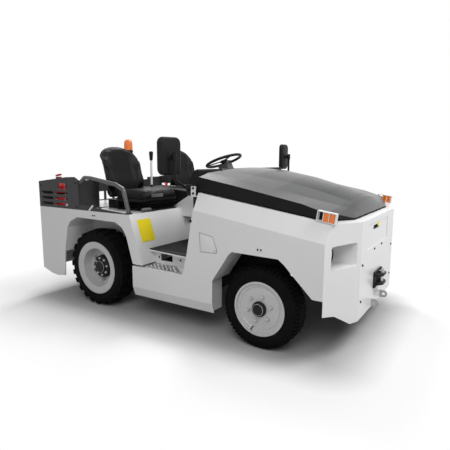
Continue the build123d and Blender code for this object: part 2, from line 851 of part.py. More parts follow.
with BuildPart() as cab_tub:
    with BuildSketch(Plane.XY.offset(rail_top)):
        with BuildLine():
            Polyline(
                (seat_foot_x - 60, -floor_rear_y),
                (floor_corner_x, -floor_front_y),
                (bulkhead_x, -floor_front_y),
                (bulkhead_x, floor_front_y),
                (floor_corner_x, floor_front_y),
                (seat_foot_x - 60, floor_rear_y),
                close=True,
            )
        make_face()
    extrude(amount=floor_under_z - rail_top)
    with BuildSketch(Plane.XZ.offset(-riser_y)):
        with Locations(((bulkhead_x + riser_rear_x) / 2, (sill_top_z + rail_top) / 2)):
            Rectangle(bulkhead_x - riser_rear_x, rail_top - sill_top_z)
        with Locations((hole_x, hole_z)):
            Rectangle(hole_length, hole_height, mode=Mode.SUBTRACT)
    extrude(amount=thin_skin)
    with BuildSketch(Plane.XZ.offset(riser_y - thin_skin)):
        with Locations(((bulkhead_x + riser_rear_x) / 2, (sill_top_z + rail_top) / 2)):
            Rectangle(bulkhead_x - riser_rear_x, rail_top - sill_top_z)
        with Locations((hole_x, hole_z)):
            Rectangle(hole_length, hole_height, mode=Mode.SUBTRACT)
    extrude(amount=thin_skin)
    with BuildSketch(Plane.YZ.offset(bulkhead_x - thin_skin)):
        with BuildLine():
            Polyline(
                (-tub_half, rail_top),
                (tub_half, rail_top),
                (tub_half, tub_crease_z),
                (tub_half - crease_lean * (shelf_z - tub_crease_z), shelf_z),
                (crease_lean * (shelf_z - tub_crease_z) - tub_half, shelf_z),
                (-tub_half, tub_crease_z),
                close=True,
            )
        make_face()
    extrude(amount=thin_skin)
    with BuildSketch(Plane.XY.offset(shelf_z - thin_skin)):
        with Locations(((shelf_rear_x + bulkhead_x) / 2, 0)):
            Rectangle(bulkhead_x - shelf_rear_x, 2 * shelf_half)
    extrude(amount=thin_skin)
    for side in (-1, 1):
        with BuildSketch(Plane.XZ.offset(-side * mirror_tab_y)):
            with Locations((mirror_tab_front_x - mirror_tab_length / 2, shelf_z + mirror_tab_height / 2)):
                Rectangle(mirror_tab_length, mirror_tab_height)
        extrude(amount=-side * thin_skin)
    with BuildSketch(Plane.XZ.offset(-tub_half)):
        with BuildLine():
            Polyline(
                (seat_foot_x, seat_foot_z),
                (seat_front_x, deck_z),
                (tail_x + skin, deck_z),
                (tail_x + skin, deck_z - thin_skin),
                (seat_front_x - thin_skin, deck_z - thin_skin),
                (seat_foot_x - thin_skin, seat_foot_z),
                close=True,
            )
        make_face()
    extrude(amount=2 * tub_half)
    for side in (-1, 1):
        with BuildSketch(Plane.XZ.offset(-side * (console_half + seat_gap))):
            with BuildLine():
                Polyline(
                    (console_wall_rear_x, deck_z - thin_skin),
                    (seat_front_x, console_wall_low_z),
                    (console_wall_front_x, console_wall_low_z),
                    (console_wall_front_x, console_wall_top_z),
                    (console_wall_rear_x, deck_z),
                    close=True,
                )
            make_face()
        extrude(amount=-side * thin_skin)
    with BuildSketch(Plane.XY.offset(rail_top)):
        with Locations(*[((tail_x + skin + seat_front_x) / 2, side * inner_wall_y) for side in (-1, 1)]):
            Rectangle(seat_front_x - tail_x - skin, thin_skin)
    extrude(amount=deck_z - thin_skin - rail_top)
    with BuildSketch(Plane.XY.offset(rail_bottom)):
        with Locations((0, -rail_y), (0, rail_y)):
            Rectangle(nose_x - tail_x, rail_w)
    extrude(amount=rail_height, mode=Mode.SUBTRACT)
save(cab_tub, "cab_tub")

# Rubber mat on the floor
mat_back = 4
mat_edge = 6
with BuildPart() as floor_mat:
    with BuildSketch(Plane.XY.offset(floor_under_z)):
        with BuildLine():
            Polyline(
                (floor_rear_x + mat_back, -floor_rear_y),
                (floor_corner_x, mat_edge - floor_front_y),
                (bulkhead_x - thin_skin - end_gap, mat_edge - floor_front_y),
                (bulkhead_x - thin_skin - end_gap, floor_front_y - mat_edge),
                (floor_corner_x, floor_front_y - mat_edge),
                (floor_rear_x + mat_back, floor_rear_y),
                close=True,
            )
        make_face()
    extrude(amount=mat_thick)
save(floor_mat, "floor_mat")

# Rear body: fenders with wheel arches, and the rear plate
tyre_top_z = 2 * rear_radius
fender_points = (
    (tail_x, deck_z),
    (tail_x, tail_bottom_z),
    (tail_x + 124, tail_bottom_z - 40),
    (rear_axle_x - 499, tail_bottom_z - 51),
    (rear_axle_x - 388, tail_bottom_z - 36),
    (rear_axle_x - 368, rear_radius + 127),
    (rear_axle_x - 316, tyre_top_z + 3),
    (rear_axle_x - 266, tyre_top_z + 64),
    (rear_axle_x - 171, arch_top_z),
    (rear_axle_x + 321, arch_top_z - 5),
    (rear_axle_x + 402, arch_top_z - 47),
    (rear_axle_x + 446, tyre_top_z - 5),
    (rear_axle_x + 516, seat_foot_z - 3),
    (seat_foot_x, seat_foot_z - 3),
    (seat_front_x, deck_z),
)
fender_arch = fender_points[4:13]
fender_corner = 30
with BuildPart() as rear_body:
    with BuildSketch(Plane.XZ.offset(half_width - skin)) as fender:
        with BuildLine():
            Polyline(*fender_points, close=True)
        make_face()
        fillet(fender.vertices().filter_by_position(Axis.Z, tyre_top_z - 6, arch_top_z), fender_corner)
    extrude(amount=skin)
    with BuildSketch(Plane.XZ.offset(inner_wall_y + thin_skin)) as liner:
        with BuildLine():
            Polyline(*fender_arch, close=True)
        make_face()
        fillet(liner.vertices().filter_by_position(Axis.Z, tyre_top_z - 6, arch_top_z), fender_corner)
        offset(amount=thin_skin, kind=Kind.INTERSECTION)
        with BuildLine():
            Polyline(*fender_arch, close=True)
        make_face(mode=Mode.SUBTRACT)
        with Locations((rear_axle_x, seat_foot_z - half_width)):
            Rectangle(2 * nose_x, 2 * half_width, mode=Mode.SUBTRACT)
    extrude(amount=half_width - skin - inner_wall_y - thin_skin)
    mirror(about=Plane.XZ)
    with BuildSketch(Plane.YZ.offset(tail_x)):
        with Locations((0, (tail_bottom_z + deck_z) / 2)):
            Rectangle(2 * half_width, deck_z - tail_bottom_z)
    extrude(amount=skin)
save(rear_body, "rear_body")

# Black rear housings with slots, and the wedge strips along the fenders
housing_top = (
    (tail_x, deck_z + 242),
    (housing_front_x - 163, deck_z + 290),
    (housing_front_x - 48, deck_z + 294),
    (housing_front_x, deck_z + 269),
)
strip_rear_z = deck_z + 45
strip_front_z = deck_z + 4
slot_rows = (deck_z + 140, deck_z + 89, deck_z + 37)
slot_columns = (tail_x + 126, housing_front_x - 240)
slot_length = 180
slot_height = 27
window_x = housing_front_x - 222
window_z = deck_z + 203
window_length = 122
window_height = 57
window_corner = 12
return_depth = 240
with BuildPart() as rear_housings:
    with BuildSketch(Plane.XZ.offset(half_width - housing_skin)):
        with BuildLine():
            Polyline(
                (tail_x, deck_z + seat_gap),
                *housing_top,
                (housing_front_x + 5, strip_rear_z),
                (seat_front_x, strip_front_z),
                (seat_front_x, deck_z + seat_gap),
                close=True,
            )
        make_face()
        with Locations(*[(x, z) for x in slot_columns for z in slot_rows]):
            SlotOverall(slot_length, slot_height, mode=Mode.SUBTRACT)
        with Locations((window_x, window_z)):
            RectangleRounded(window_length, window_height, window_corner, mode=Mode.SUBTRACT)
    extrude(amount=housing_skin)
    for x, top in ((housing_front_x - housing_skin, deck_z + 264), (tail_x, deck_z + 237)):
        with BuildSketch(Plane.YZ.offset(x)):
            with Locations((return_depth / 2 - half_width, (top + deck_z) / 2)):
                Rectangle(return_depth, top - deck_z - 2 * seat_gap)
        extrude(amount=housing_skin)
    mirror(about=Plane.XZ)
save(rear_housings, "rear_housings")

# Cross panel between the housings, with a row of square holes
guard_half = half_width - return_depth - seat_gap
guard_height = 209
guard_hole_width = 94
guard_hole_height = 90
guard_hole_z = deck_z + 54
hole_pitch = 123
hole_count = 9
with BuildPart() as rear_guard:
    with BuildSketch(Plane.YZ.offset(tail_x + seat_gap)):
        with Locations((0, deck_z + guard_height / 2)):
            Rectangle(2 * guard_half, guard_height - 2 * seat_gap)
        with Locations((0, guard_hole_z)):
            with GridLocations(hole_pitch, 0, hole_count, 1):
                Rectangle(guard_hole_width, guard_hole_height, mode=Mode.SUBTRACT)
    extrude(amount=housing_skin)
save(rear_guard, "rear_guard")

# Grab rails: bent tubes from the housing forward and down to the fender
rail_tube_r = 18
rail_line_y = half_width - housing_skin - rail_tube_r - 1
rail_start_x = housing_front_x + seat_gap
rail_foot_x = seat_front_x - 30
rail_foot_height = 12
rail_foot_length = 50
rail_points = (
    (housing_front_x - 17, deck_z + 228),
    (housing_front_x + 59, deck_z + 291),
    (housing_front_x + 138, deck_z + 289),
    (rail_foot_x - 148, deck_z + 243),
    (rail_foot_x - 56, deck_z + 204),
    (rail_foot_x, deck_z + rail_foot_height),
)
rail_bend_r = 28
with BuildPart() as grab_rails:
    with BuildLine(Plane.XZ.offset(rail_line_y)) as route:
        FilletPolyline(*rail_points, radius=rail_bend_r)
    with BuildSketch(Plane(origin=route.line @ 0, z_dir=route.line % 0)):
        Circle(rail_tube_r)
    sweep()
    with BuildSketch(Plane.XZ.offset(rail_line_y + rail_tube_r)):
        with Locations((rail_foot_x, deck_z + rail_foot_height / 2)):
            Rectangle(rail_foot_length, rail_foot_height)
    extrude(amount=-2 * rail_tube_r)
    with BuildSketch(Plane.YZ.offset(rail_start_x)):
        with Locations((-rail_line_y, rail_points[0][1])):
            Rectangle(4 * rail_tube_r, 6 * rail_tube_r)
    extrude(amount=-return_depth, mode=Mode.SUBTRACT)
    mirror(about=Plane.XZ)
save(grab_rails, "grab_rails")

# Hood: sections across the hood, from rear to front. Columns: place along the hood (0 at the
# rear edge, 1 at the side corner, 2 at the tip), then heights above the body's rim of the foot,
# the side crease, the bulge's ridge and the crown, then the crease's and the ridge's share of
# the half width at the foot
hood_gap = 6
hood_rear_x = bulkhead_x - 95
hood_corner_x = hood_side_x - hood_gap
hood_tip_x = hood_front_x - hood_gap
hood_edge_half = hood_half - hood_gap
hood_nose_half = hood_front_half - hood_gap
band_gap = 5
band_depth = 18
hood_sections = (
    (0, 112, 141, 157, 173, 0.83, 0.565),
    (0.28, 104, 133, 157, 197, 0.80, 0.51),
    (0.56, 92, 117, 151, 187, 0.755, 0.45),
    (0.765, 82, 94, 127, 166, 0.69, 0.39),
    (0.845, 78, 86, 116, 160, 0.655, 0.385),
    (1, 53, 72, 96, 132, 0.60, 0.385),
    (1.4, 41, 64, 90, 112, 0.66, 0.43),
    (2, 11, 17, 19, 21, 0.89, 0.62),
)
hood_wall = 6
hood_open = 4


def hood_x(place):
    """Distance along X of a section at this place on the hood."""
    if place <= 1:
        return hood_rear_x + place * (hood_corner_x - hood_rear_x)
    return hood_corner_x + (place - 1) * (hood_tip_x - hood_corner_x)


def hood_foot_half(place):
    """Half width of the hood's foot at this place."""
    slant = max(place - 1, 0)
    return hood_edge_half - slant * (hood_edge_half - hood_nose_half)


def hood_form(wall, drop):
    """The hood's form, drawn in by wall and its foot lowered by drop."""
    with BuildPart() as form:
        for place, foot, crease, ridge, crown, crease_share, ridge_share in hood_sections:
            x = hood_x(place)
            low = rim_z(x) + foot - drop
            crease_z = rim_z(x) + crease - wall
            ridge_z = rim_z(x) + ridge - wall
            crown_z = rim_z(x) + crown - wall
            half = hood_foot_half(place) - wall
            crease_y = crease_share * hood_foot_half(place) - wall
            ridge_y = ridge_share * hood_foot_half(place) - wall
            if place == 0:
                x = x + wall
            if place >= 1:
                x = x - wall
            with BuildSketch(Plane.YZ.offset(x)):
                with BuildLine():
                    Polyline(
                        (-ridge_y, ridge_z),
                        (-crease_y, crease_z),
                        (-half, low),
                        (half, low),
                        (crease_y, crease_z),
                        (ridge_y, ridge_z),
                    )
                    ThreePointArc((-ridge_y, ridge_z), (0, crown_z), (ridge_y, ridge_z))
                make_face()
        loft(ruled=True)
    return form


hinge_r = 12
hinge_x = hood_rear_x - hinge_r - 3
hinge_z = rim_rear_z + 158
hinge_pin_r = 6
hinge_y = 0.48 * half_width
hinge_stations = (-hinge_y, hinge_y)
lug_width = 40
hood_outer = hood_form(0, 0)
hood_inner = hood_form(hood_wall, hood_open)
with BuildPart() as hood_shell:
    add(hood_outer.part)
    add(hood_inner.part, mode=Mode.SUBTRACT)
    for y in hinge_stations:
        with BuildSketch(Plane.XZ.offset(-y - lug_width / 2)):
            with Locations((hinge_x, hinge_z)):
                Circle(hinge_r)
            with Locations(((hinge_x + hood_rear_x) / 2, hinge_z - hinge_r / 2)):
                Rectangle(hood_rear_x - hinge_x, hinge_r)
            with Locations((hinge_x, hinge_z)):
                Circle(hinge_pin_r + pin_gap, mode=Mode.SUBTRACT)
        extrude(amount=lug_width)
save(hood_shell, "hood_shell")

# Black band round the hood's foot
with BuildPart() as hood_band:
    with BuildSketch(Plane.XY):
        with BuildLine():
            Polyline(
                (hood_rear_x, -hood_edge_half),
                (hood_corner_x, -hood_edge_half),
                (hood_tip_x, -hood_nose_half),
                (hood_tip_x, hood_nose_half),
                (hood_corner_x, hood_edge_half),
                (hood_rear_x, hood_edge_half),
                close=True,
            )
        make_face()
        offset(amount=-band_depth, kind=Kind.INTERSECTION, mode=Mode.SUBTRACT)
    extrude(amount=2 * rim_rear_z)
    with BuildSketch(Plane.XZ.offset(-half_width)):
        with BuildLine():
            Polyline(
                *[(hood_x(row[0]), rim_z(hood_x(row[0])) + row[1] - seat_gap) for row in hood_sections],
                (hood_tip_x, rim_z(hood_tip_x) + band_gap),
                (hood_rear_x, rim_z(hood_rear_x) + band_gap),
                close=True,
            )
        make_face()
    extrude(amount=2 * half_width, mode=Mode.INTERSECT)
save(hood_band, "hood_band")


# Dash: a moulding across the cab in front of the hood's rear edge, with the hinge ears
dash_half = half_width - 140
dash_front_x = hinge_x - hinge_r - 4
dash_round = 5
ear_width = 14
ear_gap = 1
with BuildPart() as dash:
    with BuildSketch(Plane.XZ.offset(-dash_half)):
        with BuildLine():
            Polyline(
                (shelf_rear_x, shelf_z),
                (shelf_rear_x - 50, shelf_z + 58),
                (shelf_rear_x - 60, hinge_z - 68),
                (shelf_rear_x - 30, hinge_z - 3),
                (dash_front_x - 12, hinge_z + 14),
                (dash_front_x, hinge_z + 2),
                (dash_front_x, shelf_z),
                close=True,
            )
        make_face()
    extrude(amount=2 * dash_half)
    fillet(dash.edges().filter_by(Axis.Y).group_by(Axis.Z)[-1], dash_round)
    for y in hinge_stations:
        for end in (-1, 1):
            ear_y = y + end * (lug_width + ear_width + 2 * ear_gap) / 2
            with BuildSketch(Plane.XZ.offset(-ear_y - ear_width / 2)):
                with Locations((hinge_x, hinge_z)):
                    Circle(hinge_r)
                with Locations(((hinge_x + dash_front_x) / 2, hinge_z - hinge_r / 2)):
                    Rectangle(hinge_x - dash_front_x, hinge_r)
            extrude(amount=ear_width)
        pin_half = lug_width / 2 + ear_gap + ear_width / 2
        with BuildSketch(Plane.XZ.offset(-y - pin_half)):
            with Locations((hinge_x, hinge_z)):
                Circle(hinge_pin_r)
        extrude(amount=2 * pin_half)
save(dash, "dash")

# Steering column: shroud, hub post and the tube down to the floor
tilt = radians(wheel_tilt)
column_plane = Plane(
    origin=wheel_centre,
    x_dir=(cos(tilt), 0, sin(tilt)),
    z_dir=(-sin(tilt), 0, cos(tilt)),
)
column_length = (wheel_centre[2] - floor_z) / cos(tilt)
hub_drop = 42
post_top = 12
post_r = 12
shroud_length = 150
shroud_low = (150, 120)
shroud_top = (130, 100)
shroud_round = 22
column_r = 36
with BuildPart() as steering_column:
    with BuildSketch(column_plane.offset(-hub_drop)):
        Circle(post_r)
    extrude(amount=hub_drop - post_top)
    with BuildSketch(column_plane.offset(-hub_drop - shroud_length)):
        RectangleRounded(*shroud_low, shroud_round)
    with BuildSketch(column_plane.offset(-hub_drop)):
        RectangleRounded(*shroud_top, shroud_round)
    loft()
    with BuildSketch(column_plane.offset(-column_length)):
        Circle(column_r)
    extrude(amount=column_length - hub_drop - shroud_length + shroud_round)
    with BuildSketch(Plane.XY.offset(floor_z)):
        Rectangle(4 * nose_x, 4 * nose_x)
    extrude(amount=-floor_z, mode=Mode.SUBTRACT)
save(steering_column, "steering_column")

# Steering wheel: rim, hub and three spokes
steering_hub_r = 30
spoke_thick = 8
spoke_width = 24
horn_r = 42
horn_thick = 14
hub_height = 24
with BuildPart() as steering_wheel:
    with BuildSketch(Plane(origin=column_plane.origin, x_dir=column_plane.x_dir,
                           z_dir=-column_plane.y_dir)):
        with Locations((steering_ring_r, 0)):
            Circle(steering_tube_r)
    revolve(axis=Axis(column_plane.origin, column_plane.z_dir))
    with BuildSketch(column_plane.offset(1 - post_top - hub_height)):
        Circle(steering_hub_r)
        Circle(post_r + pin_gap, mode=Mode.SUBTRACT)
    extrude(amount=hub_height + end_gap)
    with BuildSketch(column_plane.offset(-post_top + end_gap)):
        Circle(horn_r)
    extrude(amount=horn_thick)
    with BuildSketch(column_plane.offset(-spoke_thick / 2)):
        with PolarLocations((steering_hub_r + steering_ring_r) / 2, 3, start_angle=90):
            Rectangle(steering_ring_r - steering_hub_r, spoke_width)
    extrude(amount=spoke_thick)
save(steering_wheel, "steering_wheel")

# Pedals: two plates on stems from the bulkhead. Columns: place across from the seat, width
pedal_rows = ((-73, 90), (57, 60))
pedal_x = bulkhead_x - 140
pedal_z = floor_z + 110
pedal_lean = 45
pedal_high = 90
pedal_thick = 8
stem_width = 16
stem_thick = 20
stem_z = floor_z + 210
with BuildPart() as pedals:
    for shift, width in pedal_rows:
        with BuildSketch(Plane.XZ.offset(-seat_y - shift - width / 2)):
            with BuildLine():
                Polyline(
                    (pedal_x, pedal_z),
                    (pedal_x - pedal_lean, pedal_z + pedal_high),
                    (pedal_x - pedal_lean + pedal_thick, pedal_z + pedal_high + pedal_thick / 2),
                    (pedal_x + pedal_thick, pedal_z + pedal_thick / 2),
                    close=True,
                )
            make_face()
        extrude(amount=width)
        with BuildSketch(Plane.XZ.offset(-seat_y - shift - stem_width / 2)):
            with BuildLine():
                Polyline(
                    (pedal_x - stem_thick, pedal_z + pedal_high / 2 - pedal_thick / 2),
                    (bulkhead_x - thin_skin, stem_z),
                    (bulkhead_x - thin_skin, stem_z + stem_thick),
                    (pedal_x - stem_thick, pedal_z + pedal_high / 2 + stem_thick - pedal_thick / 2),
                    close=True,
                )
            make_face()
        extrude(amount=stem_width)
save(pedals, "pedals")

# Console between the seats, and the hand lever on it
console_front_x = seat_front_x + 131
console_length = 655
console_rear_x = console_front_x - console_length
console_top_z = deck_z + 175
console_nose_z = deck_z - 69
console_round = 12
with BuildPart() as console:
    with BuildSketch(Plane.XZ.offset(-console_half)):
        with BuildLine():
            Polyline(
                (console_rear_x, deck_z),
                (seat_front_x, deck_z),
                (console_front_x, console_nose_z),
                (console_front_x, console_top_z - 46),
                (console_front_x - 40, console_top_z - 16),
                (console_front_x - 255, console_top_z),
                (console_rear_x, console_top_z),
                close=True,
            )
        make_face()
    extrude(amount=2 * console_half)
    fillet(console.edges().filter_by(Axis.X).group_by(Axis.Z)[-1], console_round)
save(console, "console")

lever_foot = (console_rear_x + 25, -50, console_top_z)
lever_base_r = 22
lever_base_high = 8
lever_r = 9
lever_length = 262
knob_r = 17
knob_length = 93
knob_flare = 3
with BuildPart() as hand_lever:
    with BuildSketch(Plane(origin=lever_foot)):
        Circle(lever_base_r)
    extrude(amount=lever_base_high)
    with BuildSketch(Plane(origin=lever_foot).offset(lever_base_high)):
        Circle(lever_r)
    extrude(amount=lever_length)
    with BuildSketch(Plane(origin=lever_foot).offset(lever_base_high + lever_length)):
        Circle(knob_r)
    extrude(amount=knob_length, taper=-knob_flare)
    fillet(hand_lever.edges().group_by(Axis.Z)[-1], knob_r - 3)
save(hand_lever, "hand_lever")

# Seats: cushion, backrest with side bolsters, and the suspension box below
cushion_z = deck_z + 79
cushion_x = seat_front_x - cushion_gap - cushion_length / 2
cushion_thick = 105
cushion_corner = 70
cushion_round = 40
back_foot_x = cushion_x - cushion_length / 2 - back_behind
back_foot_z = deck_z + 104
back_lean = 12
back_height = 500
back_thick = 90
back_width = cushion_width + 10
back_corner = 30
back_round = 12
bolster = 40
bolster_width = 60
bolster_round = 25
suspension_length = cushion_length - 20
suspension_width = cushion_width - 50
suspension_height = cushion_z - deck_z - 2 * seat_gap
bracket_top = back_foot_z - back_thick * sin(radians(back_lean)) - seat_gap
bracket_length = 150
bracket_width = 300
bracket_x = cushion_x - (cushion_length + bracket_length) / 2 - thin_skin
lean = radians(back_lean)
for side in (-1, 1):
    name = side_name(side)
    with BuildPart() as cushion:
        with BuildSketch(Plane.XY.offset(cushion_z)):
            with Locations((cushion_x, side * seat_y)):
                RectangleRounded(cushion_length, cushion_width, cushion_corner)
        extrude(amount=cushion_thick)
        fillet(cushion.edges().group_by(Axis.Z)[-1], cushion_round)
    save(cushion, "seat_cushion_" + name)
    back_plane = Plane(
        origin=(back_foot_x, side * seat_y, back_foot_z),
        x_dir=(cos(lean), 0, sin(lean)),
        z_dir=(-sin(lean), 0, cos(lean)),
    )
    with BuildPart() as backrest:
        with BuildSketch(back_plane):
            with Locations((-back_thick / 2, 0)):
                RectangleRounded(back_thick, back_width, back_corner)
            bolster_y = (back_width - bolster_width) / 2
            with Locations(
                ((bolster - back_thick) / 2, bolster_y),
                ((bolster - back_thick) / 2, -bolster_y),
            ):
                RectangleRounded(back_thick + bolster, bolster_width, bolster_round)
        extrude(amount=back_height)
        fillet(backrest.faces().sort_by(Axis.Z)[-1].edges(), back_round)
    save(backrest, "seat_back_" + name)
with BuildPart() as seat_suspensions:
    with BuildSketch(Plane.XY.offset(deck_z + seat_gap)):
        with Locations((cushion_x, -seat_y), (cushion_x, seat_y)):
            RectangleRounded(suspension_length, suspension_width, cushion_round)
    extrude(amount=suspension_height)
    with BuildSketch(Plane.XY.offset(deck_z + seat_gap)):
        with Locations(*[(bracket_x, side * seat_y) for side in (-1, 1)]):
            Rectangle(bracket_length, bracket_width)
    extrude(amount=bracket_top - deck_z - seat_gap)
save(seat_suspensions, "seat_suspensions")

# Mirrors: round cornered heads on bent arms from the side panels' top corners
mirror_x = bulkhead_x - 211
mirror_y = half_width + 129
mirror_z = shelf_z + 301
mirror_width = 200
mirror_height = 280
mirror_corner = 40
mirror_depth = 38
mirror_round = 14
arm_r = 11
arm_x = mirror_x + 60
arm_bend_z = shelf_z + 128
arm_bend_r = 24
arm_root = 4
plate_corner = 8
mirror_plate = 12
mirror_plate_length = 92
mirror_plate_height = 84
bracket_mid_x = mirror_tab_front_x - mirror_plate_length / 2
arm_foot_x = mirror_tab_front_x - mirror_tab_length - arm_r - 10
with BuildPart() as mirrors:
    with BuildSketch(Plane.YZ.offset(mirror_x - mirror_depth / 2)):
        with Locations((-mirror_y, mirror_z)):
            RectangleRounded(mirror_width, mirror_height, mirror_corner)
    extrude(amount=mirror_depth)
    fillet(mirrors.faces().sort_by(Axis.X)[-1].edges(), mirror_round)
    with BuildLine() as arm:
        FilletPolyline(
            (mirror_x + mirror_depth / 2 - arm_root, -mirror_y, mirror_z),
            (arm_x, -mirror_y, mirror_z),
            (arm_x, -mirror_y, arm_bend_z),
            (arm_foot_x, -mirror_tab_y + mirror_plate / 2, mirror_tab_z + mirror_plate_height / 2),
            radius=arm_bend_r,
        )
    with BuildSketch(Plane(origin=arm.line @ 0, z_dir=arm.line % 0)):
        Circle(arm_r)
    sweep()
    with BuildSketch(Plane.XZ.offset(mirror_tab_y - mirror_plate)):
        with Locations((bracket_mid_x, mirror_tab_z + mirror_plate_height / 2)):
            RectangleRounded(mirror_plate_length, mirror_plate_height, plate_corner)
    extrude(amount=mirror_plate)
    mirror(about=Plane.XZ)
save(mirrors, "mirrors")

# Corner guards on the rim with two amber lenses in each
guard_x = nose_x - 150
guard_length = 124
guard_tall = 68
guard_y = half_width - 69
guard_depth = 40
guard_wall = 5
guard_plane_z = rim_z(guard_x)
guard_bars = (-20, 18)
lens_length = 28
lens_stations = (-1, 38)
lens_back = 6
guard_plane = Plane(
    origin=(guard_x, -guard_y, guard_plane_z + seat_gap),
    x_dir=(1, 0, -rim_slope),
    z_dir=(0, -1, 0),
)
with BuildPart() as corner_guards:
    with BuildSketch(guard_plane):
        with Locations((0, guard_tall / 2)):
            Rectangle(guard_length, guard_tall)
            Rectangle(guard_length - 2 * guard_wall, guard_tall - 2 * guard_wall, mode=Mode.SUBTRACT)
            with Locations(*[(bar, 0) for bar in guard_bars]):
                Rectangle(guard_wall, guard_tall)
    extrude(amount=guard_depth / 2, both=True)
    mirror(about=Plane.XZ)
save(corner_guards, "corner_guards")

with BuildPart() as corner_lenses:
    with BuildSketch(guard_plane):
        with Locations(*[(station, guard_tall / 2) for station in lens_stations]):
            Rectangle(lens_length, guard_tall - 2 * guard_wall - 2 * seat_gap)
    extrude(amount=guard_depth / 2 - lens_back, both=True)
    mirror(about=Plane.XZ)
save(corner_lenses, "corner_lenses")

# Headlamps: round lamps on the rear wall of the nose's pockets
headlamp_r = 62
headlamp_depth = 40
headlamp_round = 10
headlamp_y = (lamp_in_y + lamp_out_y) / 2 + 10
headlamp_z = (lamp_bottom_z + lamp_top_z) / 2
with BuildPart() as headlamps:
    with BuildSketch(Plane.YZ.offset(lamp_back_x + seat_gap)):
        with Locations(*[(side * headlamp_y, headlamp_z) for side in (-1, 1)]):
            Circle(headlamp_r)
    extrude(amount=headlamp_depth)
    fillet(headlamps.faces().group_by(Axis.X)[-1].edges(), headlamp_round)
save(headlamps, "headlamps")

# Tail lamps on the rear plate
tail_lamp_y = half_width - 115
tail_lamp_z = deck_z - 91
tail_lamp_width = 150
tail_lamp_height = 80
tail_lamp_corner = 12
tail_lamp_depth = 30
with BuildPart() as tail_lamps:
    with BuildSketch(Plane.YZ.offset(tail_x)):
        with Locations(*[(side * tail_lamp_y, tail_lamp_z) for side in (-1, 1)]):
            RectangleRounded(tail_lamp_width, tail_lamp_height, tail_lamp_corner)
    extrude(amount=-tail_lamp_depth)
save(tail_lamps, "tail_lamps")

# Beacon on its pole behind the seats
beacon_x = housing_front_x - 247
pole_length = 531
pole_r = 14
pole_base_r = 50
pole_base_high = 8
pole_cap_r = 46
pole_cap_high = 20
beacon_foot_z = deck_z + pole_length
beacon_r = 50
beacon_height = 138
beacon_taper = 4
beacon_round = 14
with BuildPart() as beacon_pole:
    with BuildSketch(Plane.XY.offset(deck_z + seat_gap)):
        with Locations((beacon_x, 0)):
            Circle(pole_base_r)
    extrude(amount=pole_base_high)
    with BuildSketch(Plane.XY.offset(deck_z + seat_gap)):
        with Locations((beacon_x, 0)):
            Circle(pole_r)
    extrude(amount=pole_length - pole_cap_high)
    with BuildSketch(Plane.XY.offset(beacon_foot_z - pole_cap_high)):
        with Locations((beacon_x, 0)):
            Circle(pole_cap_r)
    extrude(amount=pole_cap_high)
save(beacon_pole, "beacon_pole")
with BuildPart() as beacon_lens:
    with BuildSketch(Plane.XY.offset(beacon_foot_z + seat_gap)):
        with Locations((beacon_x, 0)):
            Circle(beacon_r)
    extrude(amount=beacon_height, taper=beacon_taper)
    fillet(beacon_lens.faces().sort_by(Axis.Z)[-1].edges(), beacon_round)
save(beacon_lens, "beacon_lens")

# Fire extinguisher in the right housing
bottle_x = tail_x + 115
bottle_y = half_width - 135
bottle_r = 62
bottle_height = 240
bottle_round = 40
valve_r = 18
valve_height = 50
valve_handle = (90, 22, 26)
with BuildPart() as fire_extinguisher:
    with BuildSketch(Plane.XY.offset(deck_z + seat_gap)):
        with Locations((bottle_x, -bottle_y)):
            Circle(bottle_r)
    extrude(amount=bottle_height)
    fillet(fire_extinguisher.faces().sort_by(Axis.Z)[-1].edges(), bottle_round)
    with BuildSketch(Plane.XY.offset(deck_z + bottle_height - 10)):
        with Locations((bottle_x, -bottle_y)):
            Circle(valve_r)
    extrude(amount=valve_height)
    with BuildSketch(Plane.XY.offset(deck_z + bottle_height - 20 + valve_height)):
        with Locations((bottle_x + 15, -bottle_y)):
            Rectangle(valve_handle[0], valve_handle[1])
    extrude(amount=valve_handle[2])
save(fire_extinguisher, "fire_extinguisher")

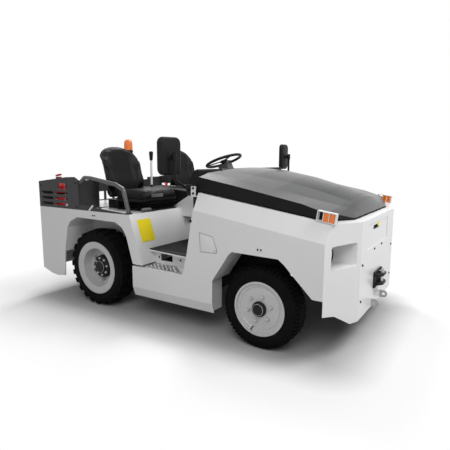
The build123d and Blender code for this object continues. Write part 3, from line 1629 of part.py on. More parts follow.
# Tow jaws: a plate with two lips, and a pin that lifts out
jaw_half = 90
lip_thick = 18
mouth = 50
jaw_z = 430
jaw_step = 30
jaw_taper = 45
jaw_plate = 12
jaw_plate_edge = 30
jaw_plate_round = 10
tow_pin_r = 15
tow_pin_in = 34
tow_head_r = 20
tow_head_high = 14
jaw_rows = (("front_tow", "front_pin", 1), ("rear_hitch", "rear_pin", -1))
for name, pin_name, facing in jaw_rows:
    z = jaw_z
    face_x = facing * nose_x
    with BuildPart() as jaw:
        with BuildSketch(Plane.YZ.offset(face_x)):
            with Locations((0, z)):
                RectangleRounded(
                    2 * (jaw_half + jaw_plate_edge),
                    mouth + 2 * (lip_thick + jaw_plate_edge - 10),
                    jaw_plate_round,
                )
        extrude(amount=facing * jaw_plate)
        for low in (z - mouth / 2 - lip_thick, z + mouth / 2):
            with BuildSketch(Plane.XY.offset(low)):
                with BuildLine():
                    Polyline(
                        (face_x, -jaw_half),
                        (face_x + facing * jaw_step, -jaw_half),
                        (face_x + facing * jaw_reach, jaw_taper - jaw_half),
                        (face_x + facing * jaw_reach, jaw_half - jaw_taper),
                        (face_x + facing * jaw_step, jaw_half),
                        (face_x, jaw_half),
                        close=True,
                    )
                make_face()
                with Locations((face_x + facing * tow_pin_in, 0)):
                    Circle(tow_pin_r + pin_gap, mode=Mode.SUBTRACT)
            extrude(amount=lip_thick)
    save(jaw, name)
    with BuildPart() as pin:
        with BuildSketch(Plane.XY.offset(z - mouth / 2 - lip_thick)):
            with Locations((face_x + facing * tow_pin_in, 0)):
                Circle(tow_pin_r)
        extrude(amount=mouth + 2 * lip_thick + seat_gap)
        with BuildSketch(Plane.XY.offset(z + mouth / 2 + lip_thick + seat_gap)):
            with Locations((face_x + facing * (tow_pin_in + 2), 0)):
                Circle(tow_head_r)
        extrude(amount=tow_head_high)
    save(pin, pin_name)

# Lashing lugs at the nose's bottom edge, each with a hole across it
lug_y = 137
lug_z = 262
lug_thick = 16
lug_round = 28
lug_hole_r = 12
with BuildPart() as lashing_lugs:
    for side in (-1, 1):
        with BuildSketch(Plane.XZ.offset(-side * lug_y - lug_thick / 2)):
            with Locations((nose_x + jaw_reach - lug_round, lug_z)):
                Circle(lug_round)
            with Locations((nose_x + (jaw_reach - lug_round) / 2, lug_z)):
                Rectangle(jaw_reach - lug_round, 2 * lug_round)
            with Locations((nose_x + jaw_reach - lug_round, lug_z)):
                Circle(lug_hole_r, mode=Mode.SUBTRACT)
        extrude(amount=lug_thick)
save(lashing_lugs, "lashing_lugs")
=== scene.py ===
"""Looks of the airport baggage tug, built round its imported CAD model. Metres, +X forward, +Z up."""

import math
import random

import bmesh
import bpy
from mathutils import Matrix, Vector
from mathutils.bvhtree import BVHTree


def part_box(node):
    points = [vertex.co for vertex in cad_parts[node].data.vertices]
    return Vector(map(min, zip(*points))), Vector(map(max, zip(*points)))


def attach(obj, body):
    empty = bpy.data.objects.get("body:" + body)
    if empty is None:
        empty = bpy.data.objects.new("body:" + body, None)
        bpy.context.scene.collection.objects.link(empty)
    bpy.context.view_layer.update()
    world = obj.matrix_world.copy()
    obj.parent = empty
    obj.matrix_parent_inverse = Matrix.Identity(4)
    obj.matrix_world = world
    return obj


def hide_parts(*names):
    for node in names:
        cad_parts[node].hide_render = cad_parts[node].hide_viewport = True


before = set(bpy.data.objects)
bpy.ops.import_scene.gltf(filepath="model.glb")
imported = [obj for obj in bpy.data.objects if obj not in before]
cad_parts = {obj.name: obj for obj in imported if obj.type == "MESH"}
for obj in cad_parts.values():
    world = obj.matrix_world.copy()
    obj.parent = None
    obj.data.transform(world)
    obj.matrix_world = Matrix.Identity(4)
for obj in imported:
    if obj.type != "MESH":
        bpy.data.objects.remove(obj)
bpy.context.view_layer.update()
SIDES = (("right", -1), ("left", 1))
AHEAD = (1, 0, 0)
LEFTWARD = (0, 1, 0)
RIGHTWARD = (0, -1, 0)
UP = (0, 0, 1)

# Camera: the photograph's own view
LENS = 33.48
SENSOR = 36.0
CAMERA_AZIMUTH = math.radians(32.63)
CAMERA_PITCH = math.radians(8.78)
CAMERA_ROLL = 0.0047
CAMERA_PLACE = Vector((2.213, -3.326, 1.329))


def aim_camera():
    """Puts the camera where the photograph was taken from."""
    back = Vector((
        math.sin(CAMERA_AZIMUTH) * math.cos(CAMERA_PITCH),
        -math.cos(CAMERA_AZIMUTH) * math.cos(CAMERA_PITCH),
        math.sin(CAMERA_PITCH),
    ))
    level = Vector((math.cos(CAMERA_AZIMUTH), math.sin(CAMERA_AZIMUTH), 0))
    upright = back.cross(level)
    right = math.cos(CAMERA_ROLL) * level + math.sin(CAMERA_ROLL) * upright
    up = back.cross(right)
    data = bpy.data.cameras.new("camera")
    data.lens = LENS
    data.sensor_width = SENSOR
    camera = bpy.data.objects.new("camera", data)
    bpy.context.scene.collection.objects.link(camera)
    turn = Matrix((right, up, back)).transposed().to_4x4()
    camera.matrix_world = Matrix.Translation(CAMERA_PLACE) @ turn
    bpy.context.scene.camera = camera


# Shaders


def new_shader(name):
    """A material with its node tree, its Principled shader and object coordinates."""
    made = bpy.data.materials.new(name)
    made.use_nodes = True
    tree = made.node_tree
    surface = tree.nodes["Principled BSDF"]
    coords = tree.nodes.new("ShaderNodeTexCoord")
    return made, tree, surface, coords.outputs["Object"]


def feed(tree, node, values):
    """Gives inputs of a node, by name or number, a socket to link or a plain value each."""
    for name, value in values.items():
        if isinstance(value, bpy.types.NodeSocket):
            tree.links.new(value, node.inputs[name])
        else:
            node.inputs[name].default_value = value
    return node


def add_node(tree, kind, values):
    return feed(tree, tree.nodes.new("ShaderNode" + kind), values)


def combine(tree, kind, first, second=0):
    """A math node of two values, each a socket or a number."""
    node = add_node(tree, "Math", {0: first, 1: second})
    node.operation = kind
    return node.outputs[0]


def noise(tree, coords, scale, detail, stretch=None):
    """A noise texture's factor, stretched along the axes if asked."""
    if stretch:
        coords = add_node(tree, "Mapping", {"Vector": coords, "Scale": stretch}).outputs["Vector"]
    return add_node(tree, "TexNoise", {"Vector": coords, "Scale": scale, "Detail": detail}).outputs["Fac"]


def remap(tree, value, low, high, from_low=0.3, from_high=0.7):
    """A value moved from one range to another and held at its ends."""
    return add_node(tree, "MapRange", {
        "Value": value, "From Min": from_low, "From Max": from_high, "To Min": low, "To Max": high,
    }).outputs["Result"]


def blend_colours(tree, factor, first, second):
    """Mixes two colours, each a plain one or a socket, by a factor."""
    node = tree.nodes.new("ShaderNodeMix")
    node.data_type = "RGBA"
    first, second = (c if isinstance(c, bpy.types.NodeSocket) else (*c, 1.0) for c in (first, second))
    feed(tree, node, {"Factor": factor, 6: first, 7: second})
    return node.outputs[2]


def add_bump(tree, surface, height, depth, strength=0.6):
    bump = add_node(tree, "Bump", {"Height": height, "Strength": strength, "Distance": depth})
    tree.links.new(bump.outputs["Normal"], surface.inputs["Normal"])


DUST_COLOUR = (0.42, 0.40, 0.37)
DUST_FULL = 0.15
DUST_GONE = 0.75


def finish_of(name, colour, rough, metal=0.0, coat=0.0, shift=0.05, cloud=3.0, grain=350.0,
              depth=0.0001, rough_shift=0.06, dust=0.0, stretch=None, shine=0.5):
    """A finish: colour that drifts a little, fine grain in its gloss and its relief, and dust low down."""
    made, tree, surface, coords = new_shader(name)
    dark = [c * (1 - shift) for c in colour]
    pale = [min(1.0, c * (1 + shift)) for c in colour]
    tone = blend_colours(tree, remap(tree, noise(tree, coords, cloud, 4.0), 0, 1), dark, pale)
    if dust:
        height = add_node(tree, "SeparateXYZ", {"Vector": coords}).outputs["Z"]
        low = remap(tree, height, dust, 0.0, DUST_FULL, DUST_GONE)
        speck = combine(tree, "MULTIPLY", low, noise(tree, coords, 14.0, 6.0))
        tone = blend_colours(tree, speck, tone, DUST_COLOUR)
    fine = noise(tree, coords, grain, 3.0, stretch)
    feed(tree, surface, {
        "Base Color": tone, "Roughness": remap(tree, fine, rough - rough_shift, rough + rough_shift),
        "Metallic": metal, "Specular IOR Level": shine, "Coat Weight": coat, "Coat Roughness": 0.12,
    })
    add_bump(tree, surface, fine, depth)
    return made


def hide_of(name, colour, rough, cell, depth):
    """Vinyl or leather: a pebbled grain of small cells."""
    made, tree, surface, coords = new_shader(name)
    cells = add_node(tree, "TexVoronoi", {"Vector": coords, "Scale": 1 / cell})
    cells.feature = "DISTANCE_TO_EDGE"
    cloud = remap(tree, noise(tree, coords, 9.0, 4.0), 0, 1)
    feed(tree, surface, {
        "Base Color": blend_colours(tree, cloud, [c * 0.8 for c in colour], [c * 1.3 for c in colour]),
        "Roughness": remap(tree, cloud, rough - 0.06, rough + 0.08, 0, 1), "Specular IOR Level": 0.11,
    })
    add_bump(tree, surface, remap(tree, cells.outputs["Distance"], 0, 1, 0, 0.25), depth, 0.5)
    return made


def lens_of(name, colour, glow=0.0):
    """Moulded lamp plastic, clear in its depth and ribbed inside."""
    made, tree, surface, coords = new_shader(name)
    wave = add_node(tree, "TexWave", {"Vector": coords, "Scale": 60.0, "Distortion": 0.4})
    wave.bands_direction = "Z"
    ribs = wave.outputs["Fac"]
    feed(tree, surface, {
        "Base Color": blend_colours(tree, ribs, [c * 0.75 for c in colour], colour),
        "Roughness": 0.12, "Transmission Weight": 0.10, "Coat Weight": 0.25,
        "Emission Color": (*colour, 1.0), "Emission Strength": glow,
    })
    add_bump(tree, surface, ribs, 0.0004, 0.4)
    return made


def glass_of(name):
    made, tree, surface, coords = new_shader(name)
    feed(tree, surface, {
        "Base Color": (0.96, 0.98, 1.0, 1.0), "Transmission Weight": 1.0, "IOR": 1.3,
        "Roughness": remap(tree, noise(tree, coords, 40.0, 3.0), 0.0, 0.06),
    })
    return made


WHITE = (0.80, 0.80, 0.805)
looks = {
    "body_white": finish_of("white paint", WHITE, 0.30, coat=0.25, shift=0.018, grain=420.0,
                            depth=0.00006, dust=0.05),
    "hood_grey": finish_of("hood paint", (0.033, 0.034, 0.036), 0.28, coat=0.12, shift=0.08,
                           depth=0.00005, shine=0.22),
    "trim_black": finish_of("moulded plastic", (0.010, 0.010, 0.011), 0.50, shift=0.15, grain=900.0,
                            depth=0.00012, shine=0.12),
    "housing": finish_of("housing paint", (0.034, 0.034, 0.036), 0.46, shift=0.10, grain=700.0,
                         depth=0.00010, shine=0.25),
    "pod_grey": finish_of("pod plastic", (0.085, 0.085, 0.088), 0.45, shift=0.10, grain=800.0,
                          depth=0.00012, shine=0.3),
    "band_black": finish_of("rubber band", (0.007, 0.007, 0.008), 0.45, shift=0.2, grain=300.0,
                            shine=0.12),
    "seat_black": hide_of("seat vinyl", (0.0045, 0.0045, 0.005), 0.40, 0.0032, 0.00035),
    "tyre_black": finish_of("tyre rubber", (0.0045, 0.0045, 0.005), 0.70, shift=0.25, cloud=7.0,
                            grain=500.0, depth=0.0002, dust=0.004, shine=0.05),
    "rim_grey": finish_of("rim paint", (0.60, 0.60, 0.61), 0.34, coat=0.2, shift=0.03, depth=0.00007,
                          dust=0.10),
    "frame_black": finish_of("frame paint", (0.010, 0.010, 0.011), 0.50, shift=0.2, dust=0.03,
                             shine=0.15),
    "rail_grey": finish_of("rail paint", (0.060, 0.061, 0.064), 0.30, metal=0.35, coat=0.3, shift=0.08),
    "mat_black": finish_of("ribbed mat", (0.011, 0.011, 0.012), 0.68, shift=0.2, depth=0.0003,
                           shine=0.2),
    "step_metal": finish_of("step plate", (0.42, 0.42, 0.43), 0.38, metal=0.9, shift=0.12, cloud=20.0,
                            depth=0.0002, stretch=(1, 6, 1)),
    "steel": finish_of("zinc steel", (0.45, 0.45, 0.46), 0.32, metal=1.0, shift=0.10, cloud=30.0,
                       depth=0.0001, stretch=(1, 1, 5)),
    "lever_white": finish_of("lever paint", (0.82, 0.81, 0.79), 0.35, coat=0.3, shift=0.03),
    "lamp_amber": lens_of("amber lens", (0.95, 0.22, 0.004), glow=0.12),
    "lamp_red": lens_of("red lens", (0.55, 0.010, 0.008)),
    "red_paint": finish_of("red paint", (0.45, 0.008, 0.010), 0.40, coat=0.08, shift=0.08, shine=0.3),
    "lamp_clear": glass_of("lamp glass"),
    "bright": finish_of("reflector", (0.85, 0.85, 0.86), 0.08, metal=1.0, shift=0.02, rough_shift=0.03,
                        depth=0.00002),
    "yellow": finish_of("yellow plate", (1.0, 0.80, 0.015), 0.40, shift=0.04, depth=0.00003),
    # Seam thread and piping: lighter than the vinyl, partly the thread's own colour and partly a painted
    # highlight along the seams and bolster edges
    "seam": finish_of("seam thread and painted highlight", (0.045, 0.045, 0.048), 0.7, shift=0.2, grain=1500.0, shine=0.2),
    "button_red": finish_of("red button", (0.75, 0.015, 0.012), 0.35, shift=0.06),
    "switch_grey": finish_of("grey switch", (0.09, 0.09, 0.095), 0.45, shift=0.06),
}
NODE_LOOKS = {
    "body_white": "nose side_panels sills cab_tub rear_body corner_guards",
    "hood_grey": "hood_shell",
    "housing": "rear_housings rear_guard",
    "pod_grey": "steering_column",
    "trim_black": "dash steering_wheel pedals console mirrors beacon_pole seat_suspensions",
    "band_black": "hood_band",
    "seat_black": "seat_cushion_left seat_cushion_right seat_back_left seat_back_right",
    "tyre_black": "tyre_front_left tyre_front_right tyre_rear_left tyre_rear_right",
    "rim_grey": "wheel_front_left wheel_front_right wheel_rear_left wheel_rear_right",
    "frame_black": "chassis_frame front_axle front_springs rear_axle battery_pack knuckle_left "
                   "knuckle_right tie_rod front_tow rear_hitch",
    "rail_grey": "grab_rails",
    "mat_black": "floor_mat",
    "step_metal": "step_treads",
    "steel": "front_pin rear_pin lashing_lugs",
    "lever_white": "hand_lever",
    "lamp_clear": "headlamps",
    "lamp_amber": "corner_lenses beacon_lens",
    "lamp_red": "tail_lamps",
    "red_paint": "fire_extinguisher",
}


def dress_nodes():
    """Gives each CAD node its finish."""
    for look, names in NODE_LOOKS.items():
        for name in names.split():
            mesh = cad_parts[name].data
            mesh.materials.clear()
            mesh.materials.append(looks[look])


# Shapes: points and faces gathered for one piece
AXIS_HOLE = 1e-5
BEVEL_FROM = math.radians(40)


class Shape:
    def __init__(self):
        self.points = []
        self.faces = []

    def rings(self, rings, closed_along=False):
        """Skins a row of rings, each a list of as many points, with a cap at each open end."""
        first = len(self.points)
        count = len(rings[0])
        for ring in rings:
            self.points.extend(Vector(p) for p in ring)
        steps = len(rings) if closed_along else len(rings) - 1
        for i in range(steps):
            low = first + i * count
            high = first + ((i + 1) % len(rings)) * count
            for j in range(count):
                k = (j + 1) % count
                self.faces.append((low + j, low + k, high + k, high + j))
        if not closed_along:
            last = first + steps * count
            self.faces.append(tuple(first + j for j in reversed(range(count))))
            self.faces.append(tuple(last + j for j in range(count)))
        return self

    def lathe(self, profile, centre, axis, segments):
        """Turns (along, radius) points round an axis through centre, and closes both ends on the axis."""
        w, u, v = axes_about(axis)
        centre = Vector(centre)
        if profile[0][1]:
            profile = [(profile[0][0], 0), *profile]
        if profile[-1][1]:
            profile = [*profile, (profile[-1][0], 0)]
        return self.rings([
            [centre + w * along + (u * math.cos(t) + v * math.sin(t)) * max(radius, AXIS_HOLE)
             for t in turns(segments)]
            for along, radius in profile
        ])

    def prism(self, outline, origin, across, upward, depth):
        """Pushes a flat outline out along its normal."""
        x = Vector(across).normalized()
        y = Vector(upward).normalized()
        low = [Vector(origin) + x * a + y * b for a, b in outline]
        return self.rings([low, [p + x.cross(y) * depth for p in low]])

    def block(self, low, high):
        (a, b, c), (d, e, f) = low, high
        return self.rings([[(a, b, z), (a, e, z), (d, e, z), (d, b, z)] for z in (c, f)])

    def tube(self, path, radius, segments):
        """A round bar along a path of points."""
        path = [Vector(p) for p in path]
        side = (path[1] - path[0]).orthogonal().normalized()
        rings = []
        for i, p in enumerate(path):
            ahead = path[min(i + 1, len(path) - 1)] - path[max(i - 1, 0)]
            ahead.normalize()
            side = (side - ahead * side.dot(ahead)).normalized()
            other = ahead.cross(side)
            rings.append([p + (side * math.cos(t) + other * math.sin(t)) * radius for t in turns(segments)])
        return self.rings(rings)

    def make(self, name, look, body="chassis", slot=None, bevel=0.0, smooth=35.0, replaces=None):
        """Turns what was gathered into a piece that rides on a body and takes its look's finish. The slot
        argument is not used.
        """
        piece = new_piece(name, self, True)
        if bevel:
            add_modifier(piece, "BEVEL", width=bevel, segments=2, limit_method="ANGLE",
                         angle_limit=BEVEL_FROM)
        return settle(piece, look, body, smooth, replaces)


def new_piece(name, shape, weld):
    """An object in the scene from a shape, with its faces turned outward."""
    mesh = bpy.data.meshes.new(name)
    mesh.from_pydata([tuple(p) for p in shape.points], [], shape.faces)
    net = bmesh.new()
    net.from_mesh(mesh)
    if weld:
        bmesh.ops.remove_doubles(net, verts=net.verts, dist=1e-6)
    bmesh.ops.recalc_face_normals(net, faces=net.faces)
    net.to_mesh(mesh)
    net.free()
    piece = bpy.data.objects.new(name, mesh)
    bpy.context.scene.collection.objects.link(piece)
    return piece


def add_modifier(piece, kind, **settings):
    """Adds a modifier and applies it to the mesh."""
    modifier = piece.modifiers.new(kind, kind)
    for key, value in settings.items():
        setattr(modifier, key, value)
    apply_modifiers(piece)


def apply_modifiers(piece):
    graph = bpy.context.evaluated_depsgraph_get()
    graph.update()
    solid = bpy.data.meshes.new_from_object(piece.evaluated_get(graph))
    piece.modifiers.clear()
    old = piece.data
    piece.data = solid
    bpy.data.meshes.remove(old)


def settle(piece, look, body, smooth, replaces):
    """Shades a piece, gives it its finish and puts it on its body."""
    piece.data.materials.clear()
    piece.data.materials.append(looks[look])
    shade(piece, smooth)
    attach(piece, body)
    if replaces:
        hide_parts(replaces)
    return piece


def shade(piece, angle):
    """Smooth faces, with the edges sharper than the angle kept crisp."""
    mesh = piece.data
    mesh.shade_smooth()
    net = bmesh.new()
    net.from_mesh(mesh)
    for edge in net.edges:
        if len(edge.link_faces) == 2 and edge.calc_face_angle(0.0) > math.radians(angle):
            edge.smooth = False
    net.to_mesh(mesh)
    net.free()


def rounded(width, height, radius, steps=5):
    """Points of a rounded rectangle about the middle."""
    points = []
    for sx, sy, start in ((1, 1, 0), (-1, 1, 90), (-1, -1, 180), (1, -1, 270)):
        cx = sx * (width / 2 - radius)
        cy = sy * (height / 2 - radius)
        for i in range(steps + 1):
            t = math.radians(start + 90 * i / steps)
            points.append((cx + radius * math.cos(t), cy + radius * math.sin(t)))
    return points


def turns(count):
    """Angles that share out a full turn."""
    return [2 * math.pi * i / count for i in range(count)]


def around(radius, y, t):
    """A point at an angle round the Y axis, so far from it and so far along it."""
    return Vector((radius * math.cos(t), y, radius * math.sin(t)))


def axes_about(axis):
    """A unit vector along an axis and two across it."""
    w = Vector(axis).normalized()
    u = w.orthogonal().normalized()
    return w, u, w.cross(u)


def hexagon(across):
    """Corners of a hexagon that is so wide across its flats."""
    radius = across / 2 / math.cos(math.pi / 6)
    return [(radius * math.cos(t), radius * math.sin(t)) for t in turns(6)]


def add_bolt(shape, place, axis, across=0.016, high=0.009, washer=0.0025):
    """A washer and a domed hexagon head on a surface."""
    w, u, v = axes_about(axis)
    place = Vector(place)
    shape.lathe([(0, across * 0.72), (washer, across * 0.70)], place, w, 20)
    shape.rings([
        [place + w * along + (u * a + v * b) * share for a, b in hexagon(across)]
        for along, share in ((washer, 1.0), (high * 0.82, 1.0), (high, 0.82))
    ])


# Wheels and tyres
BEAD_INSET = 0.013
TYRE_SHOULDER = 0.030
TYRE_SEGMENTS = 96
LUG_STEPS = 3
LUG_ROOT = 0.003
LUG_TAPER = 0.86

# Rows of blocks: from and to across the tyre, blocks, gap, slant, first place, fall of the outer end
FRONT_ROWS = [(start, start + 0.032, 60, 0.04, 0.05, 0.0, 0.0) for start in (-0.052, -0.016, 0.020)]
FRONT_ROWS += [(0.057, 0.084, 60, 0.22, 0.0, 0.0, 0.011), (-0.084, -0.057, 60, 0.22, 0.0, 0.5, 0.011)]
REAR_ROWS = [
    (0.006, 0.101, 24, 0.42, 0.0, 0.0, 0.014),
    (-0.101, -0.006, 24, 0.42, 0.0, 0.5, 0.014),
    (-0.012, 0.012, 24, 0.02, 0.0, 0.25, 0.0),
]

# Tyres: axle, radius, radius of the bead, depth of the tread and its rows
TYRES = (("front", 0.296, 0.190, 0.009, FRONT_ROWS), ("rear", 0.353, 0.233, 0.018, REAR_ROWS))

FRONT_DISC = 0.813
REAR_DISC = 0.723

# Wheel nuts: face below them, their circle, first turn, seat, then rise, width and height, and the stud
NUTS = {
    "front": (FRONT_DISC, 0.0925, 15, [(0, 0.015), (0.002, 0.0145), (0.006, 0.0115)],
              (0.005, 0.019, 0.012), [(0.016, 0.005), (0.022, 0.0045)]),
    "rear": (REAR_DISC, 0.128, 25, [(0, 0.017), (0.002, 0.0165), (0.008, 0.0125)],
             (0.006, 0.023, 0.018), [(0.022, 0.007), (0.034, 0.0065)]),
}
NUT_COUNT = 6
VALVE_CIRCLE = 0.150
VALVE_TURN = math.radians(250)
HUB_FACE = 0.7675
HUB_BOLTS = 8
HUB_BOLT_CIRCLE = 0.079


def tyre_profile(half, bead, base):
    """Half widths and radii from the inner bead round to the outer one, under the tread's blocks."""
    wall = base - bead
    rim = [(BEAD_INSET, 0.0), (0.003, 0.010), (0.001, 0.020), (0.004, 0.024)]
    side = [(0.002, 0.30), (0, 0.45), (0.001, 0.58), (0.005, 0.62), (0.006, 0.78)]
    profile = [(half - inset, bead + rise) for inset, rise in rim]
    profile += [(half - inset, bead + share * wall) for inset, share in side]
    return profile + [(half - TYRE_SHOULDER * 0.45, base - 0.008), (half - TYRE_SHOULDER, base)]


def make_tyre(axle, word, side, radius, bead, depth, rows):
    """A tyre in place of a plain one: a carcass under rows of tread blocks with open grooves."""
    node = f"tyre_{axle}_{word}"
    low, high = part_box(node)
    centre = (low + high) / 2
    half = (high.y - low.y) / 2
    base = radius - depth
    outer = tyre_profile(half, bead, base)
    inner = (half - BEAD_INSET) * side
    profile = [(u * side, r) for u, r in outer] + [(-u * side, r) for u, r in reversed(outer)]
    profile += [(-inner, bead), (inner, bead)]
    shape = Shape().rings(
        [[centre + around(r, u, t) for t in turns(TYRE_SEGMENTS)] for u, r in profile], closed_along=True)
    for start, end, count, gap, slant, phase, drop in rows:
        pitch = 2 * math.pi / count
        for i in range(count):
            add_lug(shape, centre, side, (start, end), (i + phase) * pitch, pitch * (1 - gap), slant,
                    base - LUG_ROOT, radius, drop)
    shape.make(f"{axle}_tyre_{word}", "tyre_black", f"wheel_{axle}_{word}", smooth=30.0, replaces=node)


def add_lug(shape, centre, side, span, middle, width, slant, base, top, drop):
    """One block of tread between two places across the tyre, tapered, with a lowered outer end."""
    reach = max(abs(u) for u in span)
    rings = []
    for u, half in zip(span, (-0.5, 0.5)):
        fall = drop if abs(u) == reach else 0
        turn = middle + slant * half
        foot, crown = (
            [centre + around(r - fall, u * side, turn + width * share * (k / LUG_STEPS - 0.5))
             for k in range(LUG_STEPS + 1)]
            for share, r in ((1.0, base), (LUG_TAPER, top))
        )
        rings.append(foot + crown[::-1])
    if abs(span[0]) > abs(span[1]):
        rings.reverse()
    shape.rings(rings)


def make_tyres():
    for word, side in SIDES:
        for axle, *sizes in TYRES:
            make_tyre(axle, word, side, *sizes)


def axle_of(wheel):
    """The point of a wheel's axle that is in the tug's middle plane."""
    low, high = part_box(wheel)
    return Vector(((low.x + high.x) / 2, 0, (low.z + high.z) / 2))


def make_nuts(end, word, side):
    """A ring of nuts on round seats, each with the end of its stud."""
    face, circle, first, seat, (rise, across, high), stud = NUTS[end]
    wheel = f"wheel_{end}_{word}"
    axle = axle_of(wheel)
    outward = Vector((0, side, 0))
    nuts = Shape()
    for i in range(NUT_COUNT):
        spot = axle + around(circle, side * face, math.radians(360 / NUT_COUNT * i + first))
        nuts.lathe(seat, spot, outward, 24)
        add_bolt(nuts, spot + outward * rise, outward, across, high, 0.001)
        nuts.lathe(stud, spot, outward, 12)
    nuts.make(f"{end}_nuts_{word}", "steel", wheel, bevel=0.0006)


def make_wheel_trim():
    """Nuts, caps, valves and hubs of the four wheels."""
    for word, side in SIDES:
        make_nuts("front", word, side)
        wheel = "wheel_front_" + word
        axle = axle_of(wheel)
        outward = Vector((0, side, 0))
        Shape().lathe([
            (0, 0.0535), (0.004, 0.0555), (0.018, 0.0545), (0.024, 0.051), (0.030, 0.045), (0.0325, 0.038),
            (0.0332, 0.020), (0.0328, 0.0),
        ], axle + outward * FRONT_DISC, outward, 48).make("front_cap_" + word, "frame_black", wheel)
        Shape().lathe(
            [(0, 0.008), (0.003, 0.006), (0.006, 0.0035), (0.024, 0.0035), (0.025, 0.005), (0.032, 0.005),
             (0.033, 0)],
            axle + around(VALVE_CIRCLE, side * (FRONT_DISC - 0.004), VALVE_TURN),
            (math.cos(VALVE_TURN) * 0.5, side, math.sin(VALVE_TURN) * 0.5), 14,
        ).make("front_valve_" + word, "band_black", wheel)
        make_nuts("rear", word, side)
        wheel = "wheel_rear_" + word
        axle = axle_of(wheel)
        Shape().lathe([
            (-0.044, 0.104), (-0.036, 0.106), (-0.008, 0.102), (0, 0.097), (0.002, 0.094), (0.002, 0.062),
            (0.016, 0.056), (0.022, 0.050), (0.0225, 0.0),
        ], axle + outward * HUB_FACE, outward, 56).make("rear_hub_" + word, "frame_black", wheel)
        bolts = Shape()
        for i in range(HUB_BOLTS):
            t = math.radians(360 / HUB_BOLTS * i + 10)
            spot = axle + around(HUB_BOLT_CIRCLE, side * (HUB_FACE + 0.002), t)
            add_bolt(bolts, spot, outward, 0.015, 0.010)
        bolts.make("rear_hub_bolts_" + word, "steel", wheel, bevel=0.0005)


# Seats
SEAT_LEAN = math.radians(14)
SEAT_BACK = Vector((-0.745, 0, 0.985))
BACK_WIDE = 0.243
BACK_HIGH = 0.503
SHOULDER = 0.30
PIPING_TOP = [0.468, 0.475, 0.481, 0.487, 0.492, 0.496]
PAN_LOW = 0.9605
PAN_HIGH = 0.985
CUSHION_TOP = 1.066
CUSHION_FRONT = -0.302
CUSHION_REAR = -0.698
CUSHION_WIDE = 0.233
CUSHION_SEAM = 0.150
CUSHION_FOLD = -0.60
SEAM_WIDTH = 0.005
SEAM_THREAD = 0.0022
PIPING = 0.0045
SLIDE_BASE = 0.014
PAD_DROP = 0.004

# Seams of the back: how high they reach, and from where on they slant, so that distances shrink
SEAM_TOP = 0.39
SEAM_SLANTS_FROM = 0.26
SEAM_SLANT = 0.7

# Plane of the back's piping: behind the middle, and how far the bolsters bring it forward
PIPING_BACK = -0.020
PIPING_FORWARD = 0.035

# How far the cloth step may puff a pad up, and how deep its seams are drawn in
BACK_PUFF = 0.010
CUSHION_PUFF = 0.009
BACK_SINK = 0.0065
CUSHION_SINK = 0.006
FOLD_SINK = 0.005


def ease(value, low, high):
    """A smooth step from 0 at low to 1 at high."""
    t = min(1.0, max(0.0, (value - low) / (high - low)))
    return t * t * (3 - 2 * t)


def back_half(h):
    """Half width of a seat back at a height along it: upright sides under an arched top."""
    if h < SHOULDER:
        return BACK_WIDE - 0.04 * (1 - ease(h, 0.0, 0.10))
    share = (h - SHOULDER) / (BACK_HIGH - SHOULDER)
    return BACK_WIDE * max(0.02, 1 - share ** 3.2) ** 0.5


def back_seam(h):
    """Distance of the bolster's seam from the seat's middle: straight, then out to the edge."""
    return 0.132 + 0.02 * ease(h, 0.0, 0.25) + 0.09 * ease(h, 0.24, 0.38)


def back_point(middle, y, h, ahead):
    """A point of the seat back from its place across, along and ahead of the back's own plane."""
    return middle + Vector((
        ahead * math.cos(SEAT_LEAN) - h * math.sin(SEAT_LEAN),
        y,
        ahead * math.sin(SEAT_LEAN) + h * math.cos(SEAT_LEAN),
    ))


def back_ring(middle, h):
    """One section across the back: a hollowed front, bolsters that stand forward, a shell behind."""
    wide = back_half(h)
    bolster = 0.050 * ease(h, 0.02, 0.12) * (1 - 0.8 * ease(h, 0.30, 0.44))
    lumbar = 0.012 * math.exp(-((h - 0.14) / 0.07) ** 2)
    thin = math.sqrt(max(0.04, 1 - max(0.0, (h - 0.42) / (BACK_HIGH - 0.42 + 0.004)) ** 2))
    thin *= math.sqrt(max(0.15, 1 - max(0.0, (0.03 - h) / 0.032) ** 2))
    front = []
    rear = []
    count = 26
    for i in range(count + 1):
        y = wide * math.sin(math.pi * (i / count - 0.5))
        out = ease(abs(y), 0.10, 0.22)
        ahead = lumbar - 0.008 + bolster * out
        behind = -0.080 + (0.030 + bolster) * ease(abs(y), 0.08, 0.235)
        edge = math.sqrt(max(0.0, 1 - (abs(y) / wide) ** 5))
        mid = (ahead + behind) / 2
        half = (ahead - behind) / 2 * thin * edge
        front.append(back_point(middle, y, h, mid + half))
        rear.append(back_point(middle, y, h, mid - half))
    return front + rear[-2:0:-1]


def cushion_ring(y_mid, x):
    """One section across the cushion: low bolsters at both sides of a shallow seat."""
    ends = min(x - CUSHION_REAR, CUSHION_FRONT - x)
    round_in = 1 - max(0.0, (0.07 - ends) / 0.07)
    wide = CUSHION_WIDE - 0.07 * (1 - math.sqrt(max(0.0, 1 - (1 - round_in) ** 2)))
    fall = 0.045 * (1 - math.sqrt(max(0.0, 1 - max(0.0, 1 - ends / 0.06) ** 2)))
    top = []
    count = 22
    for i in range(count + 1):
        y = wide * math.sin(math.pi * (i / count - 0.5))
        edge = math.sqrt(max(0.0, 1 - (abs(y) / wide) ** 6))
        rise = 0.010 * ease(abs(y), 0.10, 0.18) - 0.012
        high = PAN_HIGH + (CUSHION_TOP - PAN_HIGH + rise - fall) * (0.35 + 0.65 * edge)
        top.append(Vector((x, y_mid + y, high)))
    foot = [Vector((x, y_mid + wide * s, PAN_HIGH - PAD_DROP)) for s in (0.98, 0.5, 0.0, -0.5, -0.98)]
    return top + foot


# Soft pads: size of the remesh, pressure of the cloth step and its frames
PAD_VOXEL = 0.006
PAD_PRESSURE = 4.0
CLOTH_FRAMES = 20


